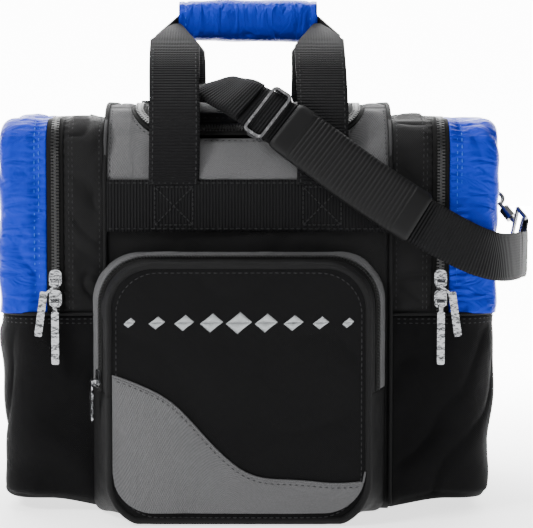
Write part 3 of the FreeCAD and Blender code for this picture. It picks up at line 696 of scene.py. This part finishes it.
def make_lower(side, seed):
    """Black lower shell in a darker copy of the black cloth, whose darker colour is painted shade,
    and the folded edge where the flap meets it.
    """
    heart, count = SIDE_HEART[side], 200
    rings = [(z, lower_ring(0, count)) for z in np.linspace(FOLD_Z - 0.6, BASE_R, 44)]
    rings += [(BASE_R - BASE_R * sin(phi), lower_ring(BASE_R * (1 - cos(phi)), count))
              for phi in np.linspace(0, pi / 2, 9)[1:]]
    pts = mirror(stacked(rings, 2), side)
    fall = edges(pts, 5, 5)
    height = np.clip(pts[..., 2] / FOLD_Z, 0, 1)
    amount = fall * (0.8 + 1.8 * waves(pts, 70, seed + 4, (1, 1, 1.2))
                     - 2.6 * creases(pts, 64, seed + 5, (0.9, 0.9, 0.6)))
    # flat under the web, and drawn in towards the base
    web = np.exp(-((pts[..., 1] / 34) ** 6)) * (np.abs(pts[..., 0]) > HALF_WIDTH - 8)
    amount = amount * (1 - web) - 3.4 * (1 - height) ** 2 * fall
    shell = raise_edges(push(pts, heart, amount))
    # the darker LOWER cloth paints shade onto the lower shell
    carry(cloth(side + "_lower_cloth", shell, heart, LOWER, 2.4), "bag",
          [side + "_lower_shell"])
    normals = grid_normals(shell, heart)[0]
    for row in (1, 2):
        stitch(shell[2:-2, row], normals[2:-2, row])
    fold_line = np.insert(lower_ring(-0.6, 150), 2, FOLD_Z, axis=1)
    carry(cord_piece(side + "_fold_piping", mirror(fold_line, side), 1.5, BLACK), "bag")


def make_side(side):
    outline, seed = side_ring(0, 360), 3 if side == "left" else 8
    make_gusset(side, outline, seed)
    make_flap(side, outline, seed)
    make_lower(side, seed)


# ---- zippers ----
def zip_half(name, line, outs, across, sign, carrier, nodes=(), reach=6.6):
    """One half of a zipper along a line: woven tape and single teeth. across points from
    the line to the positive half, and sign picks the half."""
    line, outs, across = (np.asarray(a, float) for a in (line, outs, across))
    steps = np.array([1.0, 2.6, 4.2, 5.6, reach]) * sign
    pts = line[:, None] + across[:, None] * steps[None, :, None] + outs[:, None] * (
        np.array([0.7, 0.75, 0.5, 0.3, 0.0])[None, :, None])
    heart = line.mean(axis=0) - outs.mean(axis=0) * 60
    tape = cloth(name + "_tape", pts, heart, TAPE, 0.8)
    carry(tape, carrier, nodes)
    count = int(run_along(line)[-1] / 2.5)
    fine = spread(np.concatenate([line, outs, across], axis=1), count * 2 + 1)
    verts, faces = [], []
    for k in range(count):
        spot = fine[2 * k + (1 if sign > 0 else 0)]
        p, o, c = spot[:3], unit(spot[3:6]), unit(spot[6:])
        t = np.cross(o, c)
        base = len(verts)
        for a, h, l in ((-0.9, 0.7, 0.55), (-0.9, 2.0, 0.45), (3.0, 2.1, 0.7), (3.0, 0.6, 0.8)):
            for way in (-1, 1):
                verts.append(p + c * sign * a + o * h + t * way * l)
        for m in range(4):
            w = (m + 1) % 4
            faces.append((base + 2 * m, base + 2 * m + 1, base + 2 * w + 1, base + 2 * w))
        faces.append((base, base + 2, base + 4, base + 6))
        faces.append((base + 7, base + 5, base + 3, base + 1))
    carry(build(name + "_teeth", verts, faces, TEETH, [(p[0], p[2]) for p in verts], False),
          carrier, ())


def flat_normals(line):
    """Outward normals of a flat line given as two columns, for a line that runs clockwise."""
    along = unit(np.gradient(line, axis=0))
    return np.stack([-along[:, 1], along[:, 0]], -1)


def make_side_zips():
    for side in ("left", "right"):
        sign = -1 if side == "left" else 1
        ring = side_ring(0, 220)
        line = np.insert(ring, 0, sign * SIDE_ZIP, axis=1)
        outs = np.insert(flat_normals(ring), 0, 0, axis=1)
        across = np.broadcast_to((float(sign), 0.0, 0.0), line.shape)
        zip_half(side + "_zip_outer", line, outs, across, 1, side + "_flap",
                 [side + "_zip_moving"])
        zip_half(side + "_zip_inner", line, outs, across, -1, "bag", ["side_zips_fixed"])


def lid_line(inset, count):
    """The lid's outline at an inset from its opening, on the curved top."""
    x, y, r, end = LID_X - inset, LID_Y - inset, LID_R - inset, 100
    plan = spread(rounded([(-x, end), (-x, -y), (x, -y), (x, end)], [0, r, r, 0]), count)
    beyond = np.maximum(np.abs(plan[:, 1]) - CREST, 0) * np.sign(plan[:, 1])
    top = centre_point(plan[:, 1])
    return np.insert(plan, 2, top, axis=1), unit(np.stack(
        [np.zeros(count), beyond, top - SHOULDER_Z], -1))


def make_lid_zip():
    line, outs = lid_line(6.3, 260)
    across = unit(np.cross(unit(np.gradient(line, axis=0)), outs))
    middle = np.array([0, 0, CROWN])
    if ((middle - line) * across).sum() < 0:
        across = -across
    zip_half("lid_zip_inner", line, outs, across, 1, "lid", ["lid_zip_moving"])
    zip_half("lid_zip_outer", line, outs, across, -1, "bag", ["lid_zip_fixed"])


# ---- centre compartment ----
CENTRE_HEART = (0.0, 0.0, 170.0)


def turn_half(pts, rear):
    return turned(pts) if rear else pts


def make_panel(rear):
    """The lower panel, from the base up under the web band."""
    word = "rear" if rear else "front"
    profile = [(-(HALF_DEPTH - BASE_R) - BASE_R * sin(a), BASE_R - BASE_R * cos(a))
               for a in np.linspace(0, pi / 2, 8)]
    profile = np.array(profile + [(-HALF_DEPTH, z) for z in np.linspace(14, SHOULDER_Z, 60)])
    xs = np.linspace(-SEAM + 0.6, SEAM - 0.6, 64)
    pts = turn_half(grid(xs[:, None], profile[:, 0], profile[:, 1]), rear)
    amount = edges(pts, 5, 4) * (0.9 * waves(pts, 70, 21 + rear) - 1.6 * creases(
        pts, 80, 31 + rear, (0.8, 1, 0.8)) - 0.3)
    amount = amount * np.clip((265 - pts[..., 2]) / 45, 0.25, 1)
    panel = push(pts, CENTRE_HEART, amount)
    carry(cloth(word + "_panel_cloth", panel, CENTRE_HEART, BLACK, 2.6), "bag",
          [word + "_panel"])


def make_shoulder(rear):
    """The grey shoulder, cut out round the lid."""
    word = "rear" if rear else "front"
    inner, flat = LID_X - 0.2, LID_X - LID_R
    xs = np.concatenate([np.linspace(-SIDE_OF_SEAM, -LID_X - 0.3, 7),
                         np.linspace(-inner, -flat, 14), np.linspace(4 - flat, flat - 4, 34),
                         np.linspace(flat, inner, 14), np.linspace(LID_X + 0.3, SIDE_OF_SEAM, 7)])
    columns = []
    for x in xs:
        if abs(x) >= LID_X:
            y = 77.4
        elif rear:
            y = 101.0
        else:
            y = LID_Y if abs(x) <= flat else LID_Y - LID_R + arc(LID_R, abs(x) - flat)
        t = np.linspace(0, np.arccos(np.clip((y - CREST) / SHOULDER_R, -1, 1)), 26)
        columns.append(grid(x, -CREST - SHOULDER_R * np.cos(t),
                            SHOULDER_Z + 0.3 + SHOULDER_R * np.sin(t)))
    pts = np.array(columns)
    pts[..., 2] = np.minimum(pts[..., 2], CROWN)
    pts = turn_half(pts, rear)
    heart = (0, 0, 230)
    amount = edges(pts, 4, 4) * (2.0 + 1.3 * waves(pts, 60, 41 + rear)
                                 - 1.4 * creases(pts, 60, 44 + rear, (0.6, 1, 1)))
    shoulder = push(pts, heart, amount)
    carry(cloth(word + "_shoulder_cloth", shoulder, heart, GREY, 2.4), "bag",
          [word + "_shoulder"])
    normals = grid_normals(shoulder, heart)[0]
    stitch(shoulder[7:-7, -3], normals[7:-7, -3])
    for column in (1, -2):
        stitch(shoulder[column, 1:-1], normals[column, 1:-1])


def make_top_strip(word, sign):
    ys = np.linspace(-77, 77, 40)
    pts = grid(np.linspace(LID_X + 0.2, SIDE_OF_SEAM, 8)[:, None] * sign, ys, centre_point(ys))
    heart = (0, 0, 200)
    pts = push(pts, heart, edges(pts, 3, 3) * (1.0 + 0.7 * waves(pts, 40, 51)))
    carry(cloth("top_strip_" + word, pts, heart, GREY, 2.4), "bag", ["shoulder_ends"])


def make_divider(word, sign):
    """Lining between the ball and shoe compartments, as wide as the wider of the two."""
    zs, wall, bend = np.linspace(4, CROWN - 1, 46), HALF_DEPTH - 0.5, SIDE_TOP - SIDE_R
    side_y = np.where(zs > bend, HALF_DEPTH - SIDE_R + arc(SIDE_R, zs - bend), wall)
    side_y = np.where(zs > SIDE_TOP, 0, side_y)
    mid_y = np.where(zs > SHOULDER_Z, CREST + arc(SHOULDER_R, zs - SHOULDER_Z), wall)
    half = np.maximum(side_y, mid_y) - 0.8
    half = half - np.where(zs < BASE_R, BASE_R - arc(BASE_R, BASE_R - zs), 0)
    pts = grid(sign * (SEAM + 1.2), half[:, None] * np.linspace(-1, 1, 40), zs[:, None])
    pts[..., 0] += edges(pts, 4, 4) * 1.2 * waves(pts, 70, 61)
    carry(cloth("divider_" + word, pts, (0, 0, 160), LINING, 2.4), "bag", ["dividers"])


def make_seam(word, sign):
    """Piping all the way round the centre compartment's edge."""
    y, top, r = HALF_DEPTH + 1.2, CROWN + 0.6, SHOULDER_R + 1
    line = spread(rounded([(-y, 6), (-y, top), (y, top), (y, 6)], [0, r, r, 0]), 260)
    pts = np.insert(line, 0, sign * (SEAM + 0.2), axis=1)
    carry(cord_piece("piping_" + word, pts, 1.9, BLACK, 10), "bag", ["seam_piping"])


def make_centre():
    for rear in (False, True):
        make_panel(rear)
        make_shoulder(rear)
    for word, sign in (("left", -1), ("right", 1)):
        make_top_strip(word, sign)
        make_divider(word, sign)
        make_seam(word, sign)


def make_lid():
    bend_y, r = LID_Y - LID_R, 17.6
    ys = np.concatenate([np.linspace(-bend_y - r + 0.2, -bend_y, 10),
                         np.linspace(-bend_y + 2, 99.6, 54)])
    half = np.where(ys > -bend_y, 81.4, LID_X - LID_R + arc(r, ys + bend_y))
    pts = grid(half[:, None] * np.linspace(-1, 1, 54), ys[:, None], centre_point(ys)[:, None])
    heart = (0, 0, 200)
    pts = push(pts, heart, edges(pts, 5, 5) * (1.4 + 1.4 * waves(pts, 66, 71) - 1.8 * creases(
        pts, 66, 73, (0.7, 1, 1))) - 0.1)
    carry(cloth("lid_cloth", pts, heart, BLACK, 2.6), "lid", ["lid_panel"])
    normals = grid_normals(pts, heart)[0]
    stitch(pts[2:-2, 2], normals[2:-2, 2], "lid")
    stitch(pts[2:-2, -3], normals[2:-2, -3], "lid")
    stitch(pts[2, 2:-2], normals[2, 2:-2], "lid")


def make_base():
    r, straight, ys = 17.6, 90.0, np.linspace(-107.6, 107.6, 40)
    past = np.abs(ys) - straight
    half = 185.6 - np.where(past > 0, r - arc(r, past), 0)
    pts = grid(half[:, None] * np.linspace(-1, 1, 60), ys[:, None], 0.0)
    pts[..., 2] += 0.25 * (1 + waves(pts, 80, 81)) * edge_fall(pts.shape, 0, 3)
    base = cloth("base_cloth", raise_edges(pts), (0, 0, 60), BLACK, 2.6)
    carry(base, "bag", ["base_panel"])


# ---- front pocket ----
def pocket_outline(depth, count):
    """The pocket's outline at a share of its depth: 0 at the bag, 1 at the face. It starts
    at the fold on the left and runs clockwise seen from the front."""
    rings = []
    for (left, right, top), radii in ((POCKET_BACK, (10, 38, 38, 10)),
                                      (POCKET_FACE, (FACE_R,) * 4)):
        corners = [(left, 0.0), (left, top), (right, top), (right, 0.0)]
        line = rounded(corners, radii, closed=True)
        left_fold, right_fold = [[left, POCKET_FOLD_Z]], [[right, POCKET_FOLD_Z]]
        start = int(np.argmin(np.linalg.norm(line[:-1] - (left, top - radii[1]), axis=1)))
        rolled = np.concatenate([left_fold, line[start:-1], line[:start], left_fold])
        cut = next(i for i in range(1, len(rolled) - 1) if rolled[i][0] > right - 0.5 and
                   rolled[i][1] > POCKET_FOLD_Z > rolled[i + 1][1]) + 1
        rings.append((spread(np.concatenate([rolled[:cut], right_fold]), count),
                      spread(np.concatenate([right_fold, rolled[cut:]]), count)))
    return [rings[0][k] * (1 - depth) + rings[1][k] * depth for k in (0, 1)]


POCKET_HEART = (POCKET_X, -130.0, 100.0)
POCKET_BEND = ("bag", "pocket_flap", (0, -0.172, 0.094), (0, -0.172, 0.108))


def pocket_wall(name, half, low, high, mat, carrier, nodes, seed, lift=1.2):
    """A stretch of the pocket's side wall, from one share of its depth to another."""
    near, far = POCKET_Y[1], POCKET_Y[0]
    rings = [(near + (far - near) * depth, pocket_outline(depth, 170)[half])
             for depth in np.linspace(low, high, 12)]
    pts = stacked(rings, 1)
    floor = np.clip(pts[..., 2] / 12, 0, 1)
    amount = edges(pts, 4, 4) * floor * (
        lift + 1.0 * waves(pts, 42, seed) - 1.3 * creases(pts, 44, seed + 1))
    pts = push(pts, POCKET_HEART, amount)
    carry(cloth(name, pts, POCKET_HEART, mat, 2.0), carrier, nodes)


def on_face(x, z, above):
    """Points on the pocket's bulging face, at a distance in front of it."""
    x, z = np.broadcast_arrays(x, z)
    across = np.clip(1 - ((x - POCKET_X) / 100) ** 2, 0, 1)
    up = np.clip(1 - ((z - 100) / 101) ** 2, 0, 1)
    pts = grid(x, 0.0, z)
    rim = np.clip(np.minimum(across, up) * 6, 0, 1)
    bulge = 2.6 * np.sqrt(across * up) + rim * (0.9 * waves(pts, 85, 91) - 1.6 * creases(
        pts, 105, 93, (0.8, 1, 0.9)))
    pts[..., 1] = POCKET_Y[0] + 0.8 - bulge - above
    return pts


def wave_top(x):
    """Upper edge of the grey panel on the pocket."""
    known_x = (-107, -84, -63, -50, -31, -13, 0, 13, 40, 68, 93)
    known_z = (117, 108.5, 98.5, 86.5, 64.5, 47, 38.5, 35, 34, 31, 33)
    spots = [np.interp(x + k, known_x, known_z) for k in (-9, -6, -3, 0, 3, 6, 9)]
    return sum(spots) / len(spots)


def make_face():
    zs = np.concatenate([np.linspace(0.3, 33, 16), np.linspace(36, 165, 44),
                         np.linspace(168, 200.7, 16)])
    near = np.minimum(zs, POCKET_FACE[2] - zs)
    bite = np.where(near < FACE_R, FACE_R - arc(FACE_R, FACE_R - near), 0)
    t = np.linspace(0, 1, 84)
    x = (POCKET_FACE[0] + bite)[:, None] * (1 - t) + (POCKET_FACE[1] - bite)[:, None] * t
    pts = on_face(x, zs[:, None], 0.0)
    face = cloth("pocket_face_cloth", pts, (POCKET_X, 0, 100), PLAIN, 2.0, (0, -1, 0))
    for loop in face.data.loops:
        place = face.data.vertices[loop.vertex_index].co / MM
        face.data.uv_layers[0].data[loop.index].uv = (place.x, place.z)
    carry(face, POCKET_BEND, ["pocket_face_lower", "pocket_face_flap"])


def make_wave():
    """The grey panel sewn on the face, with a trimmed upper edge."""
    left, right, r, count = -104.6, 90.6, 31.6, 120
    xs = np.linspace(left, right, count)
    past = np.maximum(np.maximum(left + r - xs, xs - right + r), 0)
    low = 3.4 + r - arc(r, past) + 5.5
    high = np.maximum(wave_top(xs), low + 0.5)
    v = np.linspace(0, 1, 44)
    pts = on_face(xs[:, None], low[:, None] * (1 - v) + high[:, None] * v, 1.1)
    wave = cloth("pocket_wave_cloth", pts, (POCKET_X, 0, 60), GREY, 1.6, (0, -1, 0))
    carry(wave, POCKET_BEND, ())
    stitch(on_face(xs[2:-2], high[2:-2] - 2.8, 1.2), (0, -1, 0), POCKET_BEND, radius=0.3)
    trim = on_face(xs, high, 1.0) + (0, 0, 0.5)
    carry(cord_piece("pocket_wave_edge", trim, 0.9, GREY, 6), POCKET_BEND)


def make_binding():
    """Piping round the face and the row of stitches inside it."""
    upper, lower = pocket_outline(1.0, 150)
    edge = np.concatenate([upper, lower[1:-1]])
    band = np.insert(edge, 1, POCKET_Y[0] + 1.6, axis=1)
    band[:, 2] = np.maximum(band[:, 2], 2.9)
    binding = cord_piece("pocket_binding_cord", band, 2.9, BLACK, 12, closed=True)
    carry(binding, POCKET_BEND, ["pocket_binding_lower", "pocket_binding_flap"])
    heart = np.array([POCKET_X, 100.0])
    seam = heart + (edge - heart) * 0.945
    line = on_face(seam[:, 0], seam[:, 1], 0.2)
    stitch(np.concatenate([line, line[:1]]), (0, -1, 0), POCKET_BEND)


def make_pocket_zip():
    flat = pocket_outline(0.5, 200)[0]
    n = flat_normals(flat)
    if ((flat - (POCKET_X, 100.0)) * n).sum() < 0:
        n = -n
    line = np.insert(flat, 1, POCKET_ZIP_Y, axis=1)
    outs = unit(np.insert(n, 1, -0.25, axis=1))
    across = unit(np.cross(np.gradient(line, axis=0), outs))
    if across[:, 1].mean() > 0:
        across = -across
    zip_half("pocket_zip_front", line, outs, across, 1, "pocket_flap",
             ["pocket_zip_moving"], 6.2)
    zip_half("pocket_zip_back", line, outs, across, -1, "bag", ["pocket_zip_fixed"], 6.2)


def make_lozenges():
    """A plain row of lozenges in silver thread, largest in the middle."""
    for index in range(-4, 5):
        size = 1 - abs(index) / 7.5
        steps = int(15 * size)
        for k in range(-steps, steps + 1):
            reach = 8.5 * size * (1 - abs(k) / (steps + 1))
            x = POCKET_X + index * 21.0 + k * 0.62
            if reach > 1.0:
                ends = on_face(np.array([x - 1.2, x + 1.2]), 157.0 + np.array([-reach, reach]), 0.2)
                stitch(ends, (0, -1, 0), POCKET_BEND, "silver", length=reach * 0.98,
                       gap=0.02, radius=0.36, lift=0.3)


def make_pocket():
    pocket_wall("pocket_lower_wall", 1, 0.0, 0.985, BLACK, "bag", ["pocket_shell_lower"],
                101, 0.4)
    pocket_wall("pocket_upper_wall", 0, 0.0, 0.385, GREY, "bag", ["pocket_gusset"],
                111)
    pocket_wall("pocket_flap_wall", 0, 0.62, 0.985, BLACK, "pocket_flap",
                ["pocket_gusset_flap"], 121, 0.6)
    make_face()
    make_wave()
    make_binding()
    make_pocket_zip()
    make_lozenges()


# ---- webbing on the bag and the handles ----
def make_bands():
    """A band round the front and one round the rear, on which the handles are sewn."""
    for rear, sign in ((False, -1), (True, 1)):
        xs = np.linspace(-SEAM + 1.4, SEAM - 1.4, 120)
        ripple = 0.35 * np.sin(xs / 9.0) + 0.25 * np.sin(xs / 3.7)
        line = turn_half(grid(xs, -HALF_DEPTH - 2.0 - 0.3 * ripple, 244.6), rear)
        out = np.broadcast_to((0.0, float(sign), 0.0), line.shape)
        band = ribbon("rear_band" if rear else "front_band", line, out, 41.0, WEB_THICK, WEBBING,
                      lift=lambda s, r: 0.35 * sin(r / 2.3) * max(0, abs(s) - 0.75) * 4, count=25)
        carry(band, "bag", ["web_bands"])
        for z in (226.4, 262.6):
            stitch([(-110, sign * 123.3, z), (110, sign * 123.3, z)], (0, sign, 0))
        for x in (-HANDLE_X, HANDLE_X):
            box_stitch(x, sign * 123.5, 244.5, 15.0, sign)


def make_side_webs():
    """Webbing up each side, and the folded tab that holds the D-ring."""
    for side, sign in (("left", -1), ("right", 1)):
        zs = np.linspace(22, 155, 50)
        draw_in = 3.4 * (1 - np.clip(zs / FOLD_Z, 0, 1)) ** 2
        line = grid(sign * (HALF_WIDTH + 1.4 - draw_in), 0.0, zs)
        out = np.broadcast_to((float(sign), 0.0, 0.0), line.shape)
        carry(ribbon(side + "_side_web", line, out, STRAP_WIDTH, WEB_THICK, WEBBING), "bag", ())
        for y in (-15.5, 15.5):
            stitch(line[2:-2] + (sign * 1.2, y, 0), (sign, 0, 0))
        # up the side, round the ring's bar, and down behind
        bar_x, bar_z = HALF_WIDTH + 4.8, 262.0
        path = [(HALF_WIDTH + 1.5, z) for z in np.linspace(161, 254, 22)]
        path += [(bar_x + 3.1 * cos(a), bar_z + 3.1 * sin(a))
                 for a in np.linspace(pi, 0.12 * pi, 12)]
        path += [(bar_x + 2.6, 257.0), (bar_x + 0.2, 250.0), (bar_x - 1.6, 243.0),
                 (bar_x - 1.7, 232.0)]
        path = spread(np.insert(path, 1, 0, axis=1) * (sign, 1, 1), 80)
        along = unit(np.gradient(path, axis=0))
        outs = np.cross(along, (0, 1.0, 0)) * -sign
        width = np.interp(path[:, 2], (240, 256), (38.0, 31.0))
        tab = ribbon(side + "_tab_web", path, outs, width, 1.7, WEBBING)
        carry(tab, side + "_flap", [side + "_ring_tab"])
        for y in (-15, 15):
            stitch([(sign * (HALF_WIDTH + 2.8), y, z) for z in (168, 236)], (sign, 0, 0),
                   side + "_flap")


RISER = [(-122.6, 261.0), (-124.0, 282.0), (-123.0, 305.0), (-115.0, 334.0), (-95.0, 361.0),
         (-60.0, 381.0), (-17.0, 392.0)]


def smooth_run(points, count):
    """A soft line through points: chords rounded by repeated cutting of corners."""
    line = np.array(points, float)
    for _ in range(4):
        cut = [line[0]]
        for a, b in zip(line, line[1:]):
            cut += [a * 0.75 + b * 0.25, a * 0.25 + b * 0.75]
        line = np.array(cut + [line[-1]])
    return spread(line, count)


def lay_uv(obj, profile):
    """Gives a riser its lengths along the profile, so that its ribs run across it."""
    run = run_along(profile)
    for loop in obj.data.loops:
        place = obj.data.vertices[loop.vertex_index].co / MM
        along = float(np.interp(place.z, profile[:, 1], run))
        obj.data.uv_layers[0].data[loop.index].uv = (along, place.x)


HANDLE_BEND = ("bag", "grip", (0, 0, 0.27), (0, 0, 0.378))


def make_riser(name, profile, rear, sign, node):
    """One end of a handle, from the band up towards the wrap."""
    steps, columns = 70, []
    for u in np.linspace(0, 1, 15):
        x = sign * (HANDLE_X + (1 - 2 * u) * HANDLE_HALF)
        top = min(376.0 + (78.5 - abs(x)) * 0.95, 371.0 + (abs(x) - 38.5) * 1.25, 391.5)
        last = int(np.argmin(np.abs(profile[:, 1] - top)))
        part = spread(profile[:last + 1], steps)
        normal = flat_normals(part)
        if normal[0, 0] > 0:
            normal = -normal
        bow = 0.8 + 0.9 * (1 - (2 * u - 1) ** 2) * np.sin(np.linspace(0, pi, steps))
        yz = part + normal * bow[:, None]
        wander = 0.7 * np.sin(np.linspace(0, 5.0, steps) + rear)
        columns.append(grid(x + wander, yz[:, 0], yz[:, 1]))
    pts, heart = turn_half(np.array(columns), rear), (0, 0, 250)
    riser = cloth(name, pts, heart, WEBBING, 2.4)
    lay_uv(riser, profile)
    carry(riser, HANDLE_BEND, [node])
    normals = grid_normals(pts, heart)[0]
    for column in (1, 13):
        stitch(pts[column, 1:60] + normals[column, 1:60] * 0.1, normals[column, 1:60],
               HANDLE_BEND)


def make_fold(name, profile, rear, sign):
    """The folded end of a handle that turns into the wrap."""
    xs = np.linspace(76.0, 48.0, 16)
    low = np.interp(xs, (48, 64, 76), (381.0, 380.0, 379.0))
    high = np.interp(xs, (48, 58, 62, 76), (404.0, 399.5, 396.0, 381.5))
    depth = np.interp(xs, (48, 62, 76), (-10.0, -13.0, -44.0))
    t = np.linspace(0, 1, 9)
    z = low[:, None] * (1 - t) + high[:, None] * t
    fold = turn_half(grid(sign * xs[:, None], depth[:, None], z), rear)
    folded = cloth(name, fold, (0, 0, WRAP_Z), WEBBING, 2.2)
    lay_uv(folded, profile)
    carry(folded, HANDLE_BEND, ())


def make_handles():
    profile = smooth_run(RISER, 70)
    for word, rear in (("front", False), ("rear", True)):
        for letter, sign in (("a", -1), ("b", 1)):
            name = f"{word}_riser_{letter}"
            make_riser(name, profile, rear, sign, word + "_handle")
            make_fold(name + "_fold", profile, rear, sign)


def make_wrap():
    """The padded sleeve that holds the two handles together."""
    sides, half_z, half_y = 64, 17.6, 19.0
    xs = np.linspace(-WRAP_HALF, WRAP_HALF, 60)
    swell = (1 - 0.10 * np.abs(xs / WRAP_HALF) ** 5)[:, None]
    c, s = (way(np.arange(sides) * 2 * pi / sides) for way in (np.cos, np.sin))
    pts = grid(xs[:, None], half_y * swell * np.sign(c) * np.abs(c) ** 0.75,
               WRAP_Z + half_z * swell * np.sign(s) * np.abs(s) ** 0.75)
    outs = unit((pts - (0, 0, WRAP_Z)) * (0, 1, 1))
    hills = 0.5 * waves(pts, 34, 131, (1, 1, 1)) - 0.9 * creases(pts, 46, 133, (0.5, 1, 1))
    from_end = (WRAP_HALF - np.abs(xs))[:, None]
    ends = 0.5 * np.sin(np.arange(sides) * 2 * pi * 9 / sides) * np.exp(-from_end / 7)
    groove = -1.1 * np.exp(-((from_end - 6.0) / 1.3) ** 2)
    pts = pts + outs * (hills + ends + groove)[..., None]
    loop = np.concatenate([pts, (pts - outs * 3.0)[::-1]], axis=0)
    uv = [(p[0], 18 * k * 2 * pi / sides) for row in loop for k, p in enumerate(row)]
    wrap = build("wrap_cloth", loop.reshape(-1, 3), ring_faces(len(loop), sides, closed=True),
                 BLUE, uv)
    carry(wrap, "grip", ["handle_wrap"])
    for x in (-52.0, 52.0):
        i = int(np.argmin(np.abs(xs - x)))
        around = np.arange(sides + 1) % sides
        stitch(pts[i][around], outs[i][around], "grip", "blue", length=3.4, gap=2.0)
    seam = 3 * sides // 8
    stitch(pts[4:-4, seam], outs[4:-4, seam], "grip", "blue", length=3.4, gap=2.0)


# ---- hard pieces kept from the CAD ----
def dress(node, mat):
    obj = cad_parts[node]
    obj.data.materials.clear()
    obj.data.materials.append(mat)


def make_hardware():
    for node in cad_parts:
        if "slider" in node or "pull" in node:
            dress(node, NICKEL)
        elif node.split("_")[-1] in ("ring", "hook", "gate", "eye"):
            dress(node, HOOK_METAL)
    dress("strap_slide", DARK_METAL)
    dress("base_board", BOARD)
    dress("ball_cup", LINING)


# ---- floor and light ----
BACKDROP = 10.0


def studio_floor():
    """White floor that glows more and more behind the bag, so that it meets the backdrop."""
    mat = shader("studio floor", (0.85, 0.85, 0.85), 0.7, specular=0.1)
    tree = mat.node_tree
    bsdf = tree.nodes["Principled BSDF"]
    bsdf.inputs["Emission Color"].default_value = (1, 1, 1, 1)
    place = tree.nodes.new("ShaderNodeTexCoord")
    split = tree.nodes.new("ShaderNodeSeparateXYZ")
    tree.links.new(place.outputs["Object"], split.inputs[0])
    ramp = tree.nodes.new("ShaderNodeMapRange")
    ramp.interpolation_type = "SMOOTHSTEP"
    for label, value in (("From Min", -0.65), ("From Max", 0.35), ("To Min", 1.8),
                         ("To Max", BACKDROP)):
        ramp.inputs[label].default_value = value
    tree.links.new(split.outputs["Y"], ramp.inputs["Value"])
    tree.links.new(ramp.outputs[0], bsdf.inputs["Emission Strength"])
    return mat


def make_stage():
    bpy.ops.mesh.primitive_plane_add(size=9.0, location=(0, 0.5, -0.0012))
    floor = bpy.context.object
    floor.name = "floor"
    floor.data.materials.append(studio_floor())
    bpy.ops.mesh.primitive_plane_add(size=9.0, location=(0, 4.9, 2.0),
                                     rotation=(radians(90), 0, 0))
    backdrop = bpy.context.object
    backdrop.name = "backdrop"
    glow = shader("backdrop", (0.5, 0.5, 0.5), 1.0, specular=0.0)
    glow.node_tree.nodes["Principled BSDF"].inputs["Emission Color"].default_value = (1, 1, 1, 1)
    glow.node_tree.nodes["Principled BSDF"].inputs["Emission Strength"].default_value = BACKDROP
    backdrop.data.materials.append(glow)
    world = bpy.data.worlds.new("studio")
    world.use_nodes = True
    world.node_tree.nodes["Background"].inputs[0].default_value = (1, 1, 1, 1)
    world.node_tree.nodes["Background"].inputs[1].default_value = 0.35
    bpy.context.scene.world = world
    for name, place, size, power in (
            ("key", (-1.5, -1.2, 1.7), 0.7, 62), ("fill", (1.6, -1.5, 0.8), 1.2, 4),
            ("top", (-0.2, 0.2, 1.8), 0.9, 34)):
        data = bpy.data.lights.new(name, "AREA")
        data.size, data.energy = size, power
        lamp = bpy.data.objects.new(name, data)
        lamp.location = place
        aim = np.array([0, 0, 0.2]) - np.array(place)
        lamp.rotation_euler = (atan2(sqrt(aim[0] ** 2 + aim[1] ** 2), -aim[2]), 0,
                               atan2(aim[1], aim[0]) - pi / 2)
        bpy.context.collection.objects.link(lamp)


make_strap()
for side_word in ("left", "right"):
    make_side(side_word)
make_side_zips()
make_lid_zip()
make_centre()
make_lid()
make_base()
make_pocket()
make_bands()
make_side_webs()
make_handles()
make_wrap()
make_hardware()
make_stitches()
make_stage()
